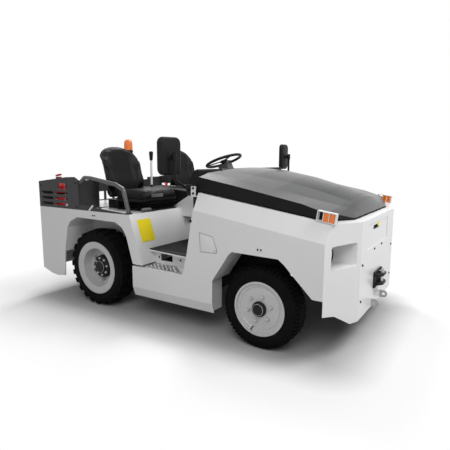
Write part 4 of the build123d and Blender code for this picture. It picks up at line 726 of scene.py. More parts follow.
def upholstered(name, shape, cap):
    """A soft body from a shape: remeshed, puffed up under cloth pressure with a capped move."""
    piece = new_piece(name, shape, False)
    add_modifier(piece, "REMESH", mode="VOXEL", voxel_size=PAD_VOXEL)
    before = [v.co.copy() for v in piece.data.vertices]
    modifier = piece.modifiers.new("cloth", "CLOTH")
    modifier.settings.use_pressure = True
    modifier.settings.uniform_pressure_force = PAD_PRESSURE
    modifier.settings.effector_weights.gravity = 0.0
    modifier.point_cache.frame_end = CLOTH_FRAMES
    for step in range(1, CLOTH_FRAMES + 1):
        bpy.context.scene.frame_set(step)
    apply_modifiers(piece)
    bpy.context.scene.frame_set(1)
    for vertex, start in zip(piece.data.vertices, before):
        move = vertex.co - start
        if move.length > cap:
            vertex.co = start + move * (cap / move.length)
    add_modifier(piece, "SMOOTH", factor=0.5, iterations=6)
    add_modifier(piece, "SUBSURF", levels=1)
    return piece


def sink_seam(piece, near, depth):
    """Draws a piece's skin in along a seam; near(point) is the distance to it, or None."""
    mesh = piece.data
    normals = [v.normal.copy() for v in mesh.vertices]
    for vertex, normal in zip(mesh.vertices, normals):
        away = near(vertex.co)
        if away is not None and away < 3 * SEAM_WIDTH:
            vertex.co -= normal * depth * math.exp(-(away / SEAM_WIDTH) ** 2)


def cast_path(piece, points, aim):
    """Drops a row of points onto a piece along a direction."""
    tree = BVHTree.FromObject(piece, bpy.context.evaluated_depsgraph_get())
    hits = []
    for point in points:
        hit = tree.ray_cast(point - aim * 0.3, aim, 0.6)[0]
        if hit:
            hits.append(hit)
    return hits


def make_seat_back(word, y_mid):
    """A padded back with sunk seams, thread along them and piping round its edge."""
    middle = SEAT_BACK + Vector((0, y_mid, 0))
    heights = [0.0, 0.008, 0.02] + [0.04 + 0.02 * i for i in range(20)]
    heights += [0.44, 0.455, 0.47, 0.48, 0.49, 0.497, BACK_HIGH - 0.001]
    shape = Shape().rings([back_ring(middle, h) for h in heights])
    piece = upholstered("back_cushion_" + word, shape, BACK_PUFF)
    ahead = Vector((math.cos(SEAT_LEAN), 0, math.sin(SEAT_LEAN)))
    upward = Vector((-math.sin(SEAT_LEAN), 0, math.cos(SEAT_LEAN)))

    def to_seam(point):
        local = point - middle
        h = local.dot(upward)
        if local.dot(ahead) < -0.03 or h > SEAM_TOP:
            return None
        return abs(abs(local.y) - back_seam(h)) * (SEAM_SLANT if h > SEAM_SLANTS_FROM else 1.0)

    sink_seam(piece, to_seam, BACK_SINK)
    seams = Shape()
    for side in (-1, 1):
        rises = [0.02 + 0.35 * i / 39 for i in range(40)]
        line = [back_point(middle, side * back_seam(h), h, 0) for h in rises
                if back_seam(h) < back_half(h) - 0.004]
        path = cast_path(piece, line, -ahead)
        if len(path) > 3:
            seams.tube(path, SEAM_THREAD, 8)
    edge = [(back_half(h), h) for h in [0.03 + 0.01 * i for i in range(44)] + PIPING_TOP]
    skin = BVHTree.FromObject(piece, bpy.context.evaluated_depsgraph_get())
    path = []
    for y, h in [(-y, h) for y, h in edge] + edge[::-1]:
        level = PIPING_BACK + PIPING_FORWARD * ease(h, 0.02, 0.12) * (1 - 0.8 * ease(h, 0.3, 0.44))
        inner = back_point(middle, 0.4 * y, min(h, 0.30), level)
        outer = back_point(middle, y, h, level)
        aim = (inner - outer).normalized()
        hit = skin.ray_cast(outer - aim * 0.05, aim, 0.2)[0]
        if hit:
            path.append(hit)
    seams.tube(path, PIPING, 8).make("back_piping_" + word, "seam", slot="seat_black")
    settle(piece, "seat_black", "chassis", 60.0, "seat_back_" + word)


def make_cushion(word, y_mid):
    """A padded cushion with sunk seams and thread, its pan, and the plain strip on its front."""
    count = 34
    length = CUSHION_FRONT - CUSHION_REAR
    shape = Shape().rings([
        cushion_ring(y_mid, CUSHION_REAR + length * (0.5 - 0.5 * math.cos(math.pi * i / count)))
        for i in range(count + 1)
    ])
    piece = upholstered("seat_cushion_pad_" + word, shape, CUSHION_PUFF)
    for vertex in piece.data.vertices:
        vertex.co.z = max(vertex.co.z, PAN_HIGH - PAD_DROP)

    def to_seam(point):
        return abs(abs(point.y - y_mid) - CUSHION_SEAM) if point.z >= PAN_HIGH + 0.006 else None

    sink_seam(piece, to_seam, CUSHION_SINK)
    sink_seam(piece, lambda p: abs(p.x - CUSHION_FOLD) if p.z > 1.03 else None, FOLD_SINK)
    seams = Shape()
    for side in (-1, 1):
        line = [Vector((CUSHION_REAR + 0.02 + (length - 0.04) * i / 40, y_mid + side * CUSHION_SEAM, 1.0))
                for i in range(41)]
        seams.tube(cast_path(piece, line, Vector((0, 0, -1))), SEAM_THREAD, 8)
    seams.make("cushion_seams_" + word, "seam", slot="seat_black")
    settle(piece, "seat_black", "chassis", 60.0, "seat_cushion_" + word)
    middle = (CUSHION_FRONT + CUSHION_REAR) / 2
    rings = []
    for grow, z in ((-0.020, PAN_LOW), (-0.006, PAN_LOW + 0.004), (0.0, PAN_LOW + 0.012),
                    (0.001, PAN_HIGH + 0.001), (-0.006, PAN_HIGH + 0.003)):
        outline = rounded(length + 2 * grow, 2 * (CUSHION_WIDE + grow), 0.07 + grow, 10)
        rings.append([(middle + a, y_mid + b, z) for a, b in outline])
    Shape().rings(rings).make("seat_pan_" + word, "trim_black", smooth=50.0)
    Shape().prism(
        rounded(0.150, 0.030, 0.004), (CUSHION_FRONT + 0.0015, y_mid - 0.075, 1.018), LEFTWARD,
        (0.12, 0, 1), 0.0015,
    ).make("seat_strip_" + word, "steel", bevel=0.0005)


def make_suspension(word, y_mid):
    """A pleated bellows on a slide rail under each seat."""
    low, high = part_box("seat_suspensions")
    rings = []
    steps = 16
    foot = low.z + SLIDE_BASE
    rise = PAN_LOW - 0.002 - foot
    for i in range(steps + 1):
        t = i / steps
        fold = 0.010 * (1 - abs((i % 4) - 2) / 2 * 2)
        grow = 2 * (0.018 * t + fold) - 0.03
        outline = rounded(0.385 + grow, 0.425 + grow, 0.05, 8)
        rings.append([(-0.500 + a, y_mid + b, foot + rise * t) for a, b in outline])
    Shape().rings(rings).make("bellows_" + word, "band_black", slot="trim_black", smooth=70.0,
                              replaces="seat_suspensions")
    base = Shape()
    for a, b, c, d, top in (
        (-0.690, -0.310, -0.190, 0.190, foot),
        (-0.853, -0.702, -0.148, -0.112, high.z - 0.004),
        (-0.853, -0.702, 0.112, 0.148, high.z - 0.004),
        (-0.853, -0.702, -0.120, 0.120, high.z - 0.030),
    ):
        base.block((a, y_mid + c, low.z), (b, y_mid + d, top))
    base.make("seat_base_" + word, "frame_black", slot="trim_black", bevel=0.003,
              replaces="seat_suspensions")
    half = [(0.030, 0.0175), (0.044, 0.014), (0.050, 0.008), (0.052, 0)]
    Shape().lathe(
        [(-along, radius) for along, radius in half[::-1]] + half,
        (-0.314, y_mid - 0.205, 0.902), (0.25, 1, 0), 24,
    ).make("slide_knob_" + word, "switch_grey", slot="trim_black", smooth=60.0)


def make_seats():
    for word, _ in SIDES:
        low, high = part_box("seat_cushion_" + word)
        y_mid = (low.y + high.y) / 2
        make_seat_back(word, y_mid)
        make_cushion(word, y_mid)
        make_suspension(word, y_mid)


# Lamps


def make_headlamps():
    """Round lamps: a black bowl and bezel round a reflector, with a domed glass in front."""
    low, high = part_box("headlamps")
    radius = (high.z - low.z) / 2
    depth = high.x - low.x
    for word, side in SIDES:
        middle = Vector((low.x, side * (high.y - radius), (low.z + high.z) / 2))
        bowl = Shape().lathe([
            (0.0005, radius - 0.014), (0.008, radius - 0.010), (0.012, radius - 0.001),
            (depth - 0.006, radius - 0.0005), (depth - 0.001, radius - 0.004),
            (depth - 0.001, radius - 0.009), (depth - 0.006, radius - 0.0115), (0.016, radius - 0.014),
            (0.010, 0),
        ], middle, AHEAD, 56)
        circle = radius - 0.006
        for t in (math.radians(120 * i + 30) for i in range(3)):
            screw = Vector((depth - 0.0035, circle * math.cos(t), circle * math.sin(t)))
            add_bolt(bowl, middle + screw, AHEAD, 0.005, 0.002, 0.0005)
        bowl.make("headlamp_bowl_" + word, "frame_black", replaces="headlamps")
        mirror = Shape().lathe([
            (0.011, 0), (0.012, 0.012), (0.015, 0.026), (0.021, 0.038), (0.027, 0.045), (0.028, 0.047),
            (0.026, 0.047), (0.010, 0.020), (0.0102, 0),
        ], middle, AHEAD, 48)
        mirror.lathe([(0.012, 0.007), (0.024, 0.006), (0.026, 0.0)], middle, AHEAD, 20)
        mirror.make("headlamp_reflector_" + word, "bright", slot="steel", replaces="headlamps")
        Shape().lathe(
            [(0.029, 0.050), (0.033, 0.050), (0.036, 0.036), (0.0375, 0.018), (0.038, 0)], middle, AHEAD, 48,
        ).make("headlamp_glass_" + word, "lamp_clear", replaces="headlamps")


# Lenses from the outer one inwards: name, look, place and length across the case
TAIL_LENSES = (("stop", "lamp_red", 0.036, 0.062), ("turn", "lamp_amber", -0.020, 0.040),
               ("back", "lamp_clear", -0.056, 0.026))
TAIL_CASE = 0.150
TAIL_CASE_DEPTH = 0.018
TAIL_LENS_TALL = 0.062
TAIL_LENS_DEPTH = 0.011


def make_tail_lamps():
    """Three lamps in a black case at each rear corner."""
    low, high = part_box("tail_lamps")
    mid_z = (low.z + high.z) / 2
    for word, side in SIDES:
        mid_y = side * (high.y - TAIL_CASE / 2)
        Shape().prism(
            rounded(TAIL_CASE, high.z - low.z, 0.012), (high.x - 0.0003, mid_y, mid_z), RIGHTWARD, UP,
            TAIL_CASE_DEPTH,
        ).make("tail_case_" + word, "trim_black", bevel=0.002, replaces="tail_lamps")
        for part, look, shift, length in TAIL_LENSES:
            Shape().prism(
                rounded(length, TAIL_LENS_TALL, 0.006), (high.x - 0.0175, mid_y + side * shift, mid_z),
                RIGHTWARD, UP, TAIL_LENS_DEPTH,
            ).make(f"tail_{part}_{word}", look, bevel=0.003, replaces="tail_lamps")


# Dome of the beacon: share of its height, radius and depth of its flutes
DOME = (
    (0.16, 0.0455, 0.0), (0.18, 0.0455, 0.0010), (0.40, 0.0440, 0.0012), (0.62, 0.0425, 0.0012),
    (0.80, 0.0405, 0.0010), (0.88, 0.0370, 0.0006), (0.94, 0.0300, 0.0), (0.98, 0.0180, 0.0),
    (0.995, 0.0060, 0.0),
)
DOME_SEGMENTS = 72
COLLAR_SCREWS = 0.0488


def make_beacon():
    """A fluted amber dome over a black collar."""
    low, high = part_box("beacon_lens")
    middle = Vector(((low.x + high.x) / 2, (low.y + high.y) / 2, low.z))
    rings = []
    for share, radius, flute in DOME:
        radii = [radius + flute * (1 if i % 4 < 2 else -1) for i in range(DOME_SEGMENTS)]
        rings.append([middle + Vector((r * math.cos(t), r * math.sin(t), (high.z - low.z) * share))
                      for r, t in zip(radii, turns(DOME_SEGMENTS))])
    Shape().rings(rings).make("beacon_dome", "lamp_amber", smooth=25.0, replaces="beacon_lens")
    collar = Shape().lathe([
        (0.0003, 0.0485), (0.003, 0.0495), (0.012, 0.0495), (0.016, 0.047), (0.023, 0.0468), (0.024, 0.044),
    ], middle, UP, 56)
    for t in (math.radians(120 * i) for i in range(3)):
        outward = Vector((math.cos(t), math.sin(t), 0))
        add_bolt(collar, middle + outward * COLLAR_SCREWS + Vector((0, 0, 0.008)), outward, 0.004, 0.0012,
                 0.0003)
    collar.make("beacon_collar", "frame_black", replaces="beacon_lens")


# Cab details

# Mirrors: turn of the head, then place of its hub along and up
MIRRORS = {"right": (math.radians(12), 0.302, 1.357), "left": (math.radians(4), 0.274, 1.371)}
MIRROR_OUT = 1.004
MIRROR_WIDE = 0.194
MIRROR_TALL = 0.270
GLASS_INSET = 0.012
BOSS_RADIUS = 0.0155
ARM_RADIUS = 0.0108
ARM_FOOT = (0.269, 0.792, 1.105)

# Mirror head: depth from its back and how far it stands in there
HEAD_STEPS = ((0.0, -0.016), (0.003, -0.009), (0.009, -0.002), (0.016, 0.0), (0.034, 0.0),
              (0.037, -0.002), (0.038, -0.006), (0.036, -0.010))


def make_mirrors():
    """Mirror heads turned on their arms, with glass, boss, arm, foot plate and bolts."""
    for word, side in SIDES:
        turn, hub_x, hub_z = MIRRORS[word]
        hub = Vector((hub_x, side * MIRROR_OUT, hub_z))
        ahead = Vector((math.cos(turn), side * math.sin(turn), 0))
        across = Vector((-ahead.y, ahead.x, 0))
        back = hub - ahead * 0.041

        def spot(depth, a, b):
            return back - ahead * depth + across * a + Vector((0, 0, b))

        def from_hub(z):
            return hub + Vector((0, 0, z))

        rings = []
        for depth, grow in HEAD_STEPS:
            outline = rounded(MIRROR_WIDE + 2 * grow, MIRROR_TALL + 2 * grow, 0.046 + grow, 9)
            rings.append([spot(depth, a, b) for a, b in outline])
        Shape().rings(rings).make("mirror_head_" + word, "trim_black", replaces="mirrors")
        outline = rounded(MIRROR_WIDE - 2 * GLASS_INSET, MIRROR_TALL - 2 * GLASS_INSET, 0.036, 9)
        Shape().rings([
            [spot(d, a * s, b * s) for a, b in outline]
            for d, s in ((0.034, 0.99), (0.0368, 1.0), (0.0374, 0.985))
        ]).make("mirror_glass_" + word, "bright", slot="steel", replaces="mirrors")
        boss = Shape().lathe([
            (-0.008, 0.028), (0.004, 0.026), (0.010, 0.018), (0.030, BOSS_RADIUS),
            (0.041, BOSS_RADIUS), (0.044, 0.010),
        ], back, ahead, 28)
        boss.tube([from_hub(z) for z in (-0.030, 0.0, 0.028)], BOSS_RADIUS, 20)
        boss.make("mirror_boss_" + word, "trim_black", replaces="mirrors")
        path = [from_hub(z) for z in (0.030, -0.08, -0.150)]
        bend = from_hub(-0.173)
        foot = Vector((ARM_FOOT[0], side * ARM_FOOT[1], ARM_FOOT[2]))
        after = bend.lerp(foot, 0.10)
        path += [path[2].lerp(bend, t).lerp(after, t) for t in (0.25, 0.5, 0.75)]
        path += [after, bend.lerp(foot, 0.5), foot]
        Shape().tube(path, ARM_RADIUS, 16).make("mirror_arm_" + word, "trim_black", replaces="mirrors")
        Shape().prism(
            [(-side * a, b) for a, b in rounded(0.092, 0.084, 0.008)], (0.288, side * 0.7865, 1.1045),
            (-side, 0, 0), UP, 0.0112,
        ).make("mirror_foot_" + word, "trim_black", bevel=0.002, replaces="mirrors")
        bolts = Shape()
        for z in (1.082, 1.121):
            add_bolt(bolts, (0.312, side * 0.8031, z), (0, side, 0), 0.013, 0.008)
        bolts.make("mirror_bolts_" + word, "frame_black")


PANEL_PLACE = (-0.665, 0.055)
STOP_PLACE = (-0.725, 0.100)
FIRST_KEY = -0.690
KEY_PITCH = 0.034
TRAY_X = -0.470
ROD_RADIUS = 0.0112


def make_console_details():
    """Switches, a red stop button, a tray and the hand lever on the console."""
    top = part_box("console")[1].z
    Shape().prism(
        rounded(0.235, 0.150, 0.012), (*PANEL_PLACE, top - 0.0005), AHEAD, LEFTWARD, 0.004,
    ).make("switch_panel", "housing", slot="trim_black", bevel=0.0015)
    Shape().lathe([
        (0, 0.021), (0.004, 0.0205), (0.005, 0.013), (0.014, 0.012), (0.016, 0.019), (0.024, 0.0195),
        (0.028, 0.016), (0.029, 0),
    ], (*STOP_PLACE, top + 0.0035), UP, 36).make("stop_button", "button_red", slot="red_paint",
                                                   bevel=0.0008)
    keys = Shape()
    corners = ((-1, -1), (1, -1), (1, 1), (-1, 1))
    for i in range(4):
        x = FIRST_KEY + KEY_PITCH * i
        for y, lean in ((0.020, 0.003), (0.062, -0.003)):
            if i or y < 0.05:
                keys.rings([
                    [(x + a * 0.012, y + b * 0.017, top + 0.003) for a, b in corners],
                    [(x + a * 0.010, y + b * 0.014, top + 0.009 - b * lean) for a, b in corners],
                ])
    keys.make("rocker_keys", "switch_grey", slot="trim_black", bevel=0.0012)
    outline = rounded(0.190, 0.110, 0.020, 6)
    Shape().rings([
        [(TRAY_X + a * share, b * share, top + z) for a, b in outline]
        for share, z in ((1.0, -0.001), (1.0, 0.005), (0.96, 0.007), (0.90, 0.006), (0.86, 0.0015))
    ]).make("console_tray", "trim_black")
    low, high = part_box("hand_lever")
    foot = Vector(((low.x + high.x) / 2, (low.y + high.y) / 2, low.z))
    tall = high.z - low.z
    Shape().tube([foot + Vector((0, 0, z)) for z in (0.004, 0.10, 0.20, tall - 0.088)], ROD_RADIUS, 24).make(
        "lever_rod", "lever_white", slot="body_white", replaces="hand_lever")
    Shape().lathe([
        (tall - 0.094, 0.0125), (tall - 0.090, 0.0155), (tall - 0.070, 0.0170), (tall - 0.030, 0.0205),
        (tall - 0.012, 0.0212), (tall - 0.004, 0.017), (tall - 0.001, 0.009), (tall - 0.0005, 0),
    ], foot, UP, 36).make("lever_knob", "trim_black", replaces="hand_lever")
    Shape().lathe([
        (0.0005, 0.0215), (0.003, 0.0215), (0.005, 0.0175), (0.008, 0.019), (0.011, 0.015),
        (0.014, 0.0165), (0.018, 0.0115), (0.024, 0.0105),
    ], foot, UP, 36).make("lever_boot", "band_black", slot="trim_black", replaces="hand_lever")


DRIVER_Y = 0.443
STEERING_LEAN = math.radians(21)
STEERING_MIDDLE = (-0.220, DRIVER_Y, 1.323)


def make_dash_details():
    """A gauge cluster facing the driver, pedal rubbers and the steering wheel's horn cap."""
    Shape().prism(
        rounded(0.190, 0.085, 0.016), (0.2335, DRIVER_Y, 1.172), RIGHTWARD, (-0.12, 0, 1), 0.012,
    ).make("gauge_case", "trim_black", bevel=0.003)
    faces = Shape()
    for shift in (-0.055, 0.0, 0.055):
        faces.lathe([(0, 0.023), (0.003, 0.0225), (0.003, 0.019), (0.0015, 0.018)],
                    (0.2218, DRIVER_Y + shift, 1.174), (-1, 0, -0.12), 32)
    faces.make("gauge_faces", "bright", slot="steel")
    rubbers = Shape()
    for y, width in ((0.370, 0.090), (0.500, 0.060)):
        half = width / 2 - 0.004
        for share in ((i + 0.5) / 6 for i in range(6)):
            x = 0.300 - 0.045 * share
            z = 0.700 + 0.090 * share
            rubbers.rings([
                [(x + thick, y + s * half, z + d) for s, d in
                 ((-1, -0.006), (1, -0.006), (1, 0.002), (-1, 0.002))]
                for thick in (-0.0035, 0.001)
            ])
    rubbers.make("pedal_rubbers", "band_black")
    Shape().lathe(
        [(0.003, 0.036), (0.0055, 0.036), (0.0075, 0.032), (0.0085, 0.020), (0.0088, 0)],
        STEERING_MIDDLE, (-math.sin(STEERING_LEAN), 0, math.cos(STEERING_LEAN)), 40,
    ).make("horn_cap", "switch_grey", "steering_wheel", "trim_black")


# Ribs of the floor mat: pitch, how far inside its right, left and rear edge, and where they end in front
RIB_PITCH = 0.016
RIB_RIGHT = 0.075
RIB_LEFT = 0.07
RIB_REAR = 0.030
RIB_FRONT = 0.425


def make_mat_ribs():
    """Low ribs that run along the floor mat."""
    low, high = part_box("floor_mat")
    ribs = Shape()
    y = low.y + RIB_RIGHT
    while y < high.y - RIB_LEFT:
        ribs.rings([
            [(x, y + dy, high.z + dz) for dy, dz in ((-0.0035, -0.001), (0.0035, -0.001), (0.002, 0.002),
                                                    (-0.002, 0.002))]
            for x in (low.x + RIB_REAR, RIB_FRONT)
        ])
        y += RIB_PITCH
    ribs.make("mat_ribs", "mat_black")


# Lozenges of a step plate: how many along and across, the first one's place, their pitch and half sizes
BAR_COUNTS = (18, 7)
BAR_START = (-0.140, 0.708)
BAR_PITCH = (0.021, 0.0205)
BAR_LONG = 0.0095
BAR_WIDE = 0.003

# The plate's slanting front edge: a point of it, and how far forward it runs per metre outwards
EDGE_POINT = (0.045, 0.700)
EDGE_SLOPE = 1.09


def make_tread_bars():
    """Crossed lozenges on the step plates."""
    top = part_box("step_treads")[1].z
    columns, rows = BAR_COUNTS
    edge_x, edge_y = EDGE_POINT
    for word, side in SIDES:
        bars = Shape()
        for i in range(columns):
            for j in range(rows):
                x, y = (start + pitch * count for start, pitch, count in zip(BAR_START, BAR_PITCH, (i, j)))
                if x > edge_x + (y - edge_y) * EDGE_SLOPE:
                    continue
                turn = math.radians(45 if (i + j) % 2 else -45)
                c, d = math.cos(turn), math.sin(turn)
                bars.rings([
                    [(x + share * (a * c - b * d), side * (y + share * (a * d + b * c)), z)
                     for a, b in ((-BAR_LONG, 0), (0, -BAR_WIDE), (BAR_LONG, 0), (0, BAR_WIDE))]
                    for share, z in ((1.0, top - 0.0005), (0.6, top + 0.0016))
                ])
        for x, y in ((-0.135, 0.712), (-0.135, 0.845), (0.200, 0.845), (0.030, 0.712)):
            add_bolt(bars, (x, side * y, top), UP, 0.009, 0.003, 0.0008)
        bars.make("tread_bars_" + word, "step_metal")


# Body details
FLAP = ((0.420, 0.803), (0.539, 0.782), (0.572, 0.692), (0.575, 0.672), (0.563, 0.664), (0.429, 0.660))
FLAP_MIDDLE = (0.500, 0.730)
FLAP_SHARE = 0.975

# Faces of the body, and how far thin trim laps them
BODY_SIDE = 0.875
SILL_SIDE = 0.700
LAP = 0.0002
SMALL_BOLT = (0.012, 0.005, 0.001)
LOCK_PLACE = (0.556, -0.8768, 0.680)
PLATE_PLACE = (-0.2460, -0.727, 0.7400)
PLATE_LEAN = (-0.3127, 0, 0.9498)
REAR_FACE = -1.4997
NOSE_FACE = 1.4998
JAW_FACE = 1.5118


def make_body_details():
    """Charge flap and lock, the blank yellow plate, arch brackets, bolts, fender clip and deck latch."""
    # Painted shade: thin dark tubes on the body face along the flap's outline stand for the shade in its gap
    gap = Shape()
    loop = [Vector((x, -BODY_SIDE - LAP, z)) for x, z in FLAP]
    for a, b in zip(loop, loop[1:] + loop[:1]):
        gap.tube([a, a.lerp(b, 0.5), b], 0.0013, 6)
    gap.make("flap_gap_painted_shade", "frame_black")
    mid_x, mid_z = FLAP_MIDDLE
    Shape().prism(
        [(mid_x + (x - mid_x) * FLAP_SHARE, mid_z + (z - mid_z) * FLAP_SHARE) for x, z in FLAP],
        (0, LAP - BODY_SIDE, 0), AHEAD, UP, 0.0022,
    ).make("charge_flap", "body_white", bevel=0.0008)
    lock = Shape().lathe([(0, 0.009), (0.003, 0.0085), (0.004, 0.006), (0.0035, 0.0045)],
                         LOCK_PLACE, RIGHTWARD, 24)
    lock.block((0.5545, -0.8812, 0.6755), (0.5575, -0.8795, 0.6845)).make("flap_lock", "steel")
    Shape().prism(
        rounded(0.158, 0.192, 0.004), PLATE_PLACE, RIGHTWARD, PLATE_LEAN, -0.0012,
    ).make("yellow_plate", "yellow", slot="body_white")
    bolts = Shape()
    brackets = Shape()
    for side in (-1, 1):
        face = side * BODY_SIDE
        outward = (0, side, 0)
        for x, z in ((0.920, 0.734), (-0.727, 0.843)):
            brackets.prism([(a * -side, b) for a, b in rounded(0.046, 0.026, 0.006)], (x, face, z),
                           (-side, 0, 0), UP, 0.0025)
            for shift in (-0.012, 0.012):
                add_bolt(bolts, (x + shift, face + side * 0.0025, z), outward, 0.010, 0.005, 0.001)
        add_bolt(bolts, (0.339, face, 0.883), outward, 0.016, 0.008, 0.002)
        for x, z in ((-1.470, 0.905), (-1.470, 1.085), (-0.950, 0.905), (-0.960, 1.120)):
            add_bolt(bolts, (x, face, z), outward, *SMALL_BOLT)
        for x, z in ((-0.13, 0.515), (0.10, 0.515), (0.33, 0.500)):
            add_bolt(bolts, (x, side * SILL_SIDE, z), outward, *SMALL_BOLT)
    brackets.make("arch_brackets", "body_white", bevel=0.0008)
    for y in (-0.60, -0.20, 0.20, 0.60):
        add_bolt(bolts, (REAR_FACE, y, 0.895), (-1, 0, 0), *SMALL_BOLT)
    bolts.make("body_bolts", "frame_black")
    Shape().prism(
        [(-0.797, 0.884), (-0.775, 0.882), (-0.722, 0.930), (-0.742, 0.936)], (0, LAP - BODY_SIDE, 0),
        AHEAD, UP, 0.0025,
    ).make("fender_clip", "lever_white", slot="body_white", bevel=0.0008)
    latch = Shape().prism(rounded(0.120, 0.022, 0.006), (-0.800, -0.700, 0.8925), (1, 0, 0.12), RIGHTWARD,
                          -0.010)
    latch.lathe([(0, 0.016), (0.006, 0.0155), (0.008, 0.010)], (-0.850, -0.700, 0.8815), UP, 24)
    latch.make("deck_latch", "rail_grey", bevel=0.002)


PIN_RING = 0.017


def make_nose_details():
    """The blank yellow tag, the bolts of nose and jaws, and the rings on the tow pins."""
    Shape().prism(
        rounded(0.062, 0.034, 0.003), (1.4958, -0.025, 0.858), LEFTWARD, UP, 0.0012,
    ).make("nose_tag", "yellow", slot="body_white")
    bolts = Shape()
    for y, z in ((-0.134, 0.682), (0.095, 0.684), (-0.46, 0.62), (0.46, 0.62), (-0.46, 0.36), (0.46, 0.36)):
        add_bolt(bolts, (NOSE_FACE, y, z), AHEAD, 0.014, 0.006, 0.0015)
    for facing in (1, -1):
        for y in (-0.108, 0.108):
            for z in (0.386, 0.474):
                add_bolt(bolts, (facing * JAW_FACE, y, z), (facing, 0, 0), 0.018, 0.010)
    bolts.make("nose_bolts", "frame_black")
    for pin in ("front_pin", "rear_pin"):
        low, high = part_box(pin)
        middle = Vector(((low.x + high.x) / 2, (low.y + high.y) / 2, high.z - 0.004))
        path = [middle + Vector((0, PIN_RING * math.cos(t), 0.006 + PIN_RING * math.sin(t)))
                for t in (math.pi * i / 14 for i in range(15))]
        Shape().tube(path, 0.003, 10).make(pin + "_ring", "steel", pin)


# The hose's own path, from the valve down behind the bottle
HOSE = (
    (-0.012, 0.008, 0.262), (-0.030, 0.020, 0.264), (-0.044, 0.030, 0.252), (-0.047, 0.034, 0.225),
    (-0.046, 0.036, 0.18), (-0.045, 0.037, 0.10), (-0.045, 0.037, 0.04),
)
BOTTLE_REACH = 0.062


def make_extinguisher():
    """Bottle, valve, gauge, hose, grip and bracket band in the right housing."""
    low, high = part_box("fire_extinguisher")
    middle = Vector((low.x + BOTTLE_REACH, (low.y + high.y) / 2, low.z))
    Shape().lathe([
        (0.0005, 0.052), (0.004, 0.059), (0.010, 0.0615), (0.190, 0.0615), (0.208, 0.058), (0.224, 0.048),
        (0.234, 0.034), (0.239, 0.022), (0.244, 0.018), (0.246, 0),
    ], middle, UP, 56).make("extinguisher_bottle", "red_paint", replaces="fire_extinguisher")
    valve = Shape().lathe(
        [(0.240, 0.0165), (0.252, 0.0165), (0.253, 0.0125), (0.272, 0.0125), (0.273, 0.0)], middle, UP, 24)
    valve.lathe([(0, 0.012), (0.006, 0.012), (0.007, 0.009)], middle + Vector((0, -0.011, 0.262)),
                RIGHTWARD, 24)
    band = rounded(0.125, 0.125, 0.0624, 14)
    valve.rings([[(middle.x + a * s, middle.y + b * s, middle.z + z) for a, b in band]
                 for s, z in ((0.975, 0.110), (1.0, 0.111), (1.0, 0.129), (0.975, 0.130))])
    valve.tube([middle + Vector(q) for q in HOSE], 0.0065, 14)
    valve.make("extinguisher_valve", "band_black", replaces="fire_extinguisher")
    grip = Shape()
    for z, lift, thick in ((0.270, 0.002, 0.012), (0.286, 0.010, 0.016)):
        grip.rings([
            [middle + Vector((x, s * 0.0125, z + lift * share + t))
             for s, t in ((-1, 0), (1, 0), (1, thick), (-1, thick))]
            for x, share in ((-0.022, 0.0), (0.0, 0.2), (0.022, 0.7), (0.040, 1.0))
        ])
    grip.make("extinguisher_grip", "red_paint", bevel=0.0008, replaces="fire_extinguisher")


# Stage


def seen_directly(tree):
    """1 for rays of the camera, of mirrors and through glass, 0 for the light that falls on things."""
    rays = add_node(tree, "LightPath", {}).outputs
    seen = combine(tree, "MAXIMUM", rays["Is Camera Ray"], rays["Is Transmission Ray"])
    return combine(tree, "MAXIMUM", seen, rays["Is Glossy Ray"])


# Floor: half length and width of the patch where a shadow is painted under the tug, then where that painted
# shadow and the fade to white run from there
FOOTPRINT = (1.35, 0.75)
SHADE_END = 0.42
FADE_START = 0.20
FADE_END = 1.15

# Floor colours: for the light that falls on it, and as seen under the tug, where it holds a painted shadow,
# and beside it
FLOOR_LIT = (0.50, 0.50, 0.50)
FLOOR_PAINTED_SHADOW = (0.48, 0.48, 0.48)
FLOOR_BESIDE = (0.97, 0.97, 0.97)

# What the surround gives as light, and how bright it looks
SURROUND_LIGHT = 0.19
SURROUND_SEEN = 1.0

# Lamps: place, the point that each faces, width and power
LAMPS = (
    ("key", (2.4, -4.2, 4.0), (0.0, 0, 0.5), 3.4, 112.0),
    ("top", (-1.8, 2.4, 5.6), (0, 0, 0.5), 1.8, 165.0),
    ("nose", (4.2, 0.4, 4.9), (0.2, 0, 0.6), 2.6, 185.0),
    ("back", (-5.5, 2.5, 3.5), (-1.0, 0, 0.8), 3.5, 40.0),
)


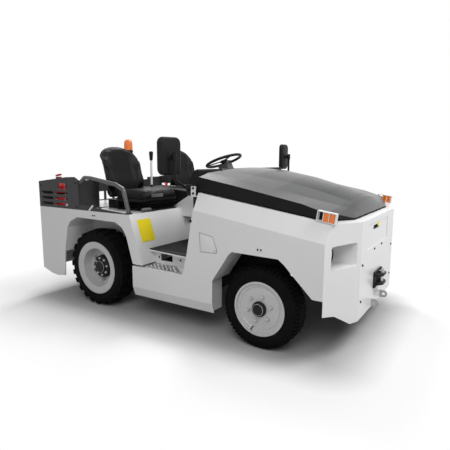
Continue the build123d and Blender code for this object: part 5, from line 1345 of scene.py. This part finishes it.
def floor_material():
    """Plain near the tug, where it takes the shadow and holds a painted shadow under the tug as well, and
    white to the eye further out.
    """
    made, tree, surface, coords = new_shader("floor")
    seen = seen_directly(tree)
    place = add_node(tree, "SeparateXYZ", {"Vector": coords}).outputs
    squares = []
    for axis, reach in zip("XY", FOOTPRINT):
        over = combine(tree, "SUBTRACT", combine(tree, "ABSOLUTE", place[axis]), reach)
        squares.append(combine(tree, "POWER", combine(tree, "MAXIMUM", over), 2))
    away = combine(tree, "SQRT", combine(tree, "ADD", *squares))
    # Painted shadow: to the eye the floor is darker under the tug and grows pale within SHADE_END of its
    # footprint
    near = blend_colours(tree, remap(tree, away, 0, 1, 0.0, SHADE_END), FLOOR_PAINTED_SHADOW, FLOOR_BESIDE)
    feed(tree, surface, {
        "Base Color": blend_colours(tree, seen, FLOOR_LIT, near), "Roughness": 0.85,
        "Specular IOR Level": 0.05,
    })
    fade = remap(tree, away, 0, 1, FADE_START, FADE_END)
    mix = add_node(tree, "MixShader", {
        "Fac": combine(tree, "MULTIPLY", fade, seen), 1: surface.outputs["BSDF"],
        2: add_node(tree, "Emission", {}).outputs["Emission"],
    })
    tree.links.new(mix.outputs["Shader"], tree.nodes["Material Output"].inputs["Surface"])
    return made


def light_stage():
    """A pale floor with a painted shadow under the tug, a surround that is white to the eye and dim as a
    light, and soft lamps.
    """
    scene = bpy.context.scene
    scene.view_settings.view_transform = "Standard"
    ground = new_piece("floor", Shape().block((-30, -30, -0.02), (30, 30, 0)), False)
    ground.data.materials.append(floor_material())
    world = bpy.data.worlds.new("surround")
    scene.world = world
    world.use_nodes = True
    tree = world.node_tree
    feed(tree, tree.nodes["Background"], {
        "Color": (1, 1, 1, 1),
        "Strength": remap(tree, seen_directly(tree), SURROUND_LIGHT, SURROUND_SEEN, 0.0, 1.0),
    })
    for name, place, target, size, power in LAMPS:
        data = bpy.data.lights.new(name, "AREA")
        data.shape = "DISK"
        data.size = size
        data.energy = power
        lamp = bpy.data.objects.new(name, data)
        lamp.location = place
        lamp.rotation_euler = (Vector(target) - Vector(place)).to_track_quat("-Z", "Y").to_euler()
        scene.collection.objects.link(lamp)


def main():
    aim_camera()
    dress_nodes()
    make_tyres()
    make_wheel_trim()
    make_seats()
    make_headlamps()
    make_tail_lamps()
    make_beacon()
    make_mirrors()
    make_console_details()
    make_dash_details()
    make_mat_ribs()
    make_tread_bars()
    make_body_details()
    make_nose_details()
    make_extinguisher()
    light_stage()


random.seed(7)
main()
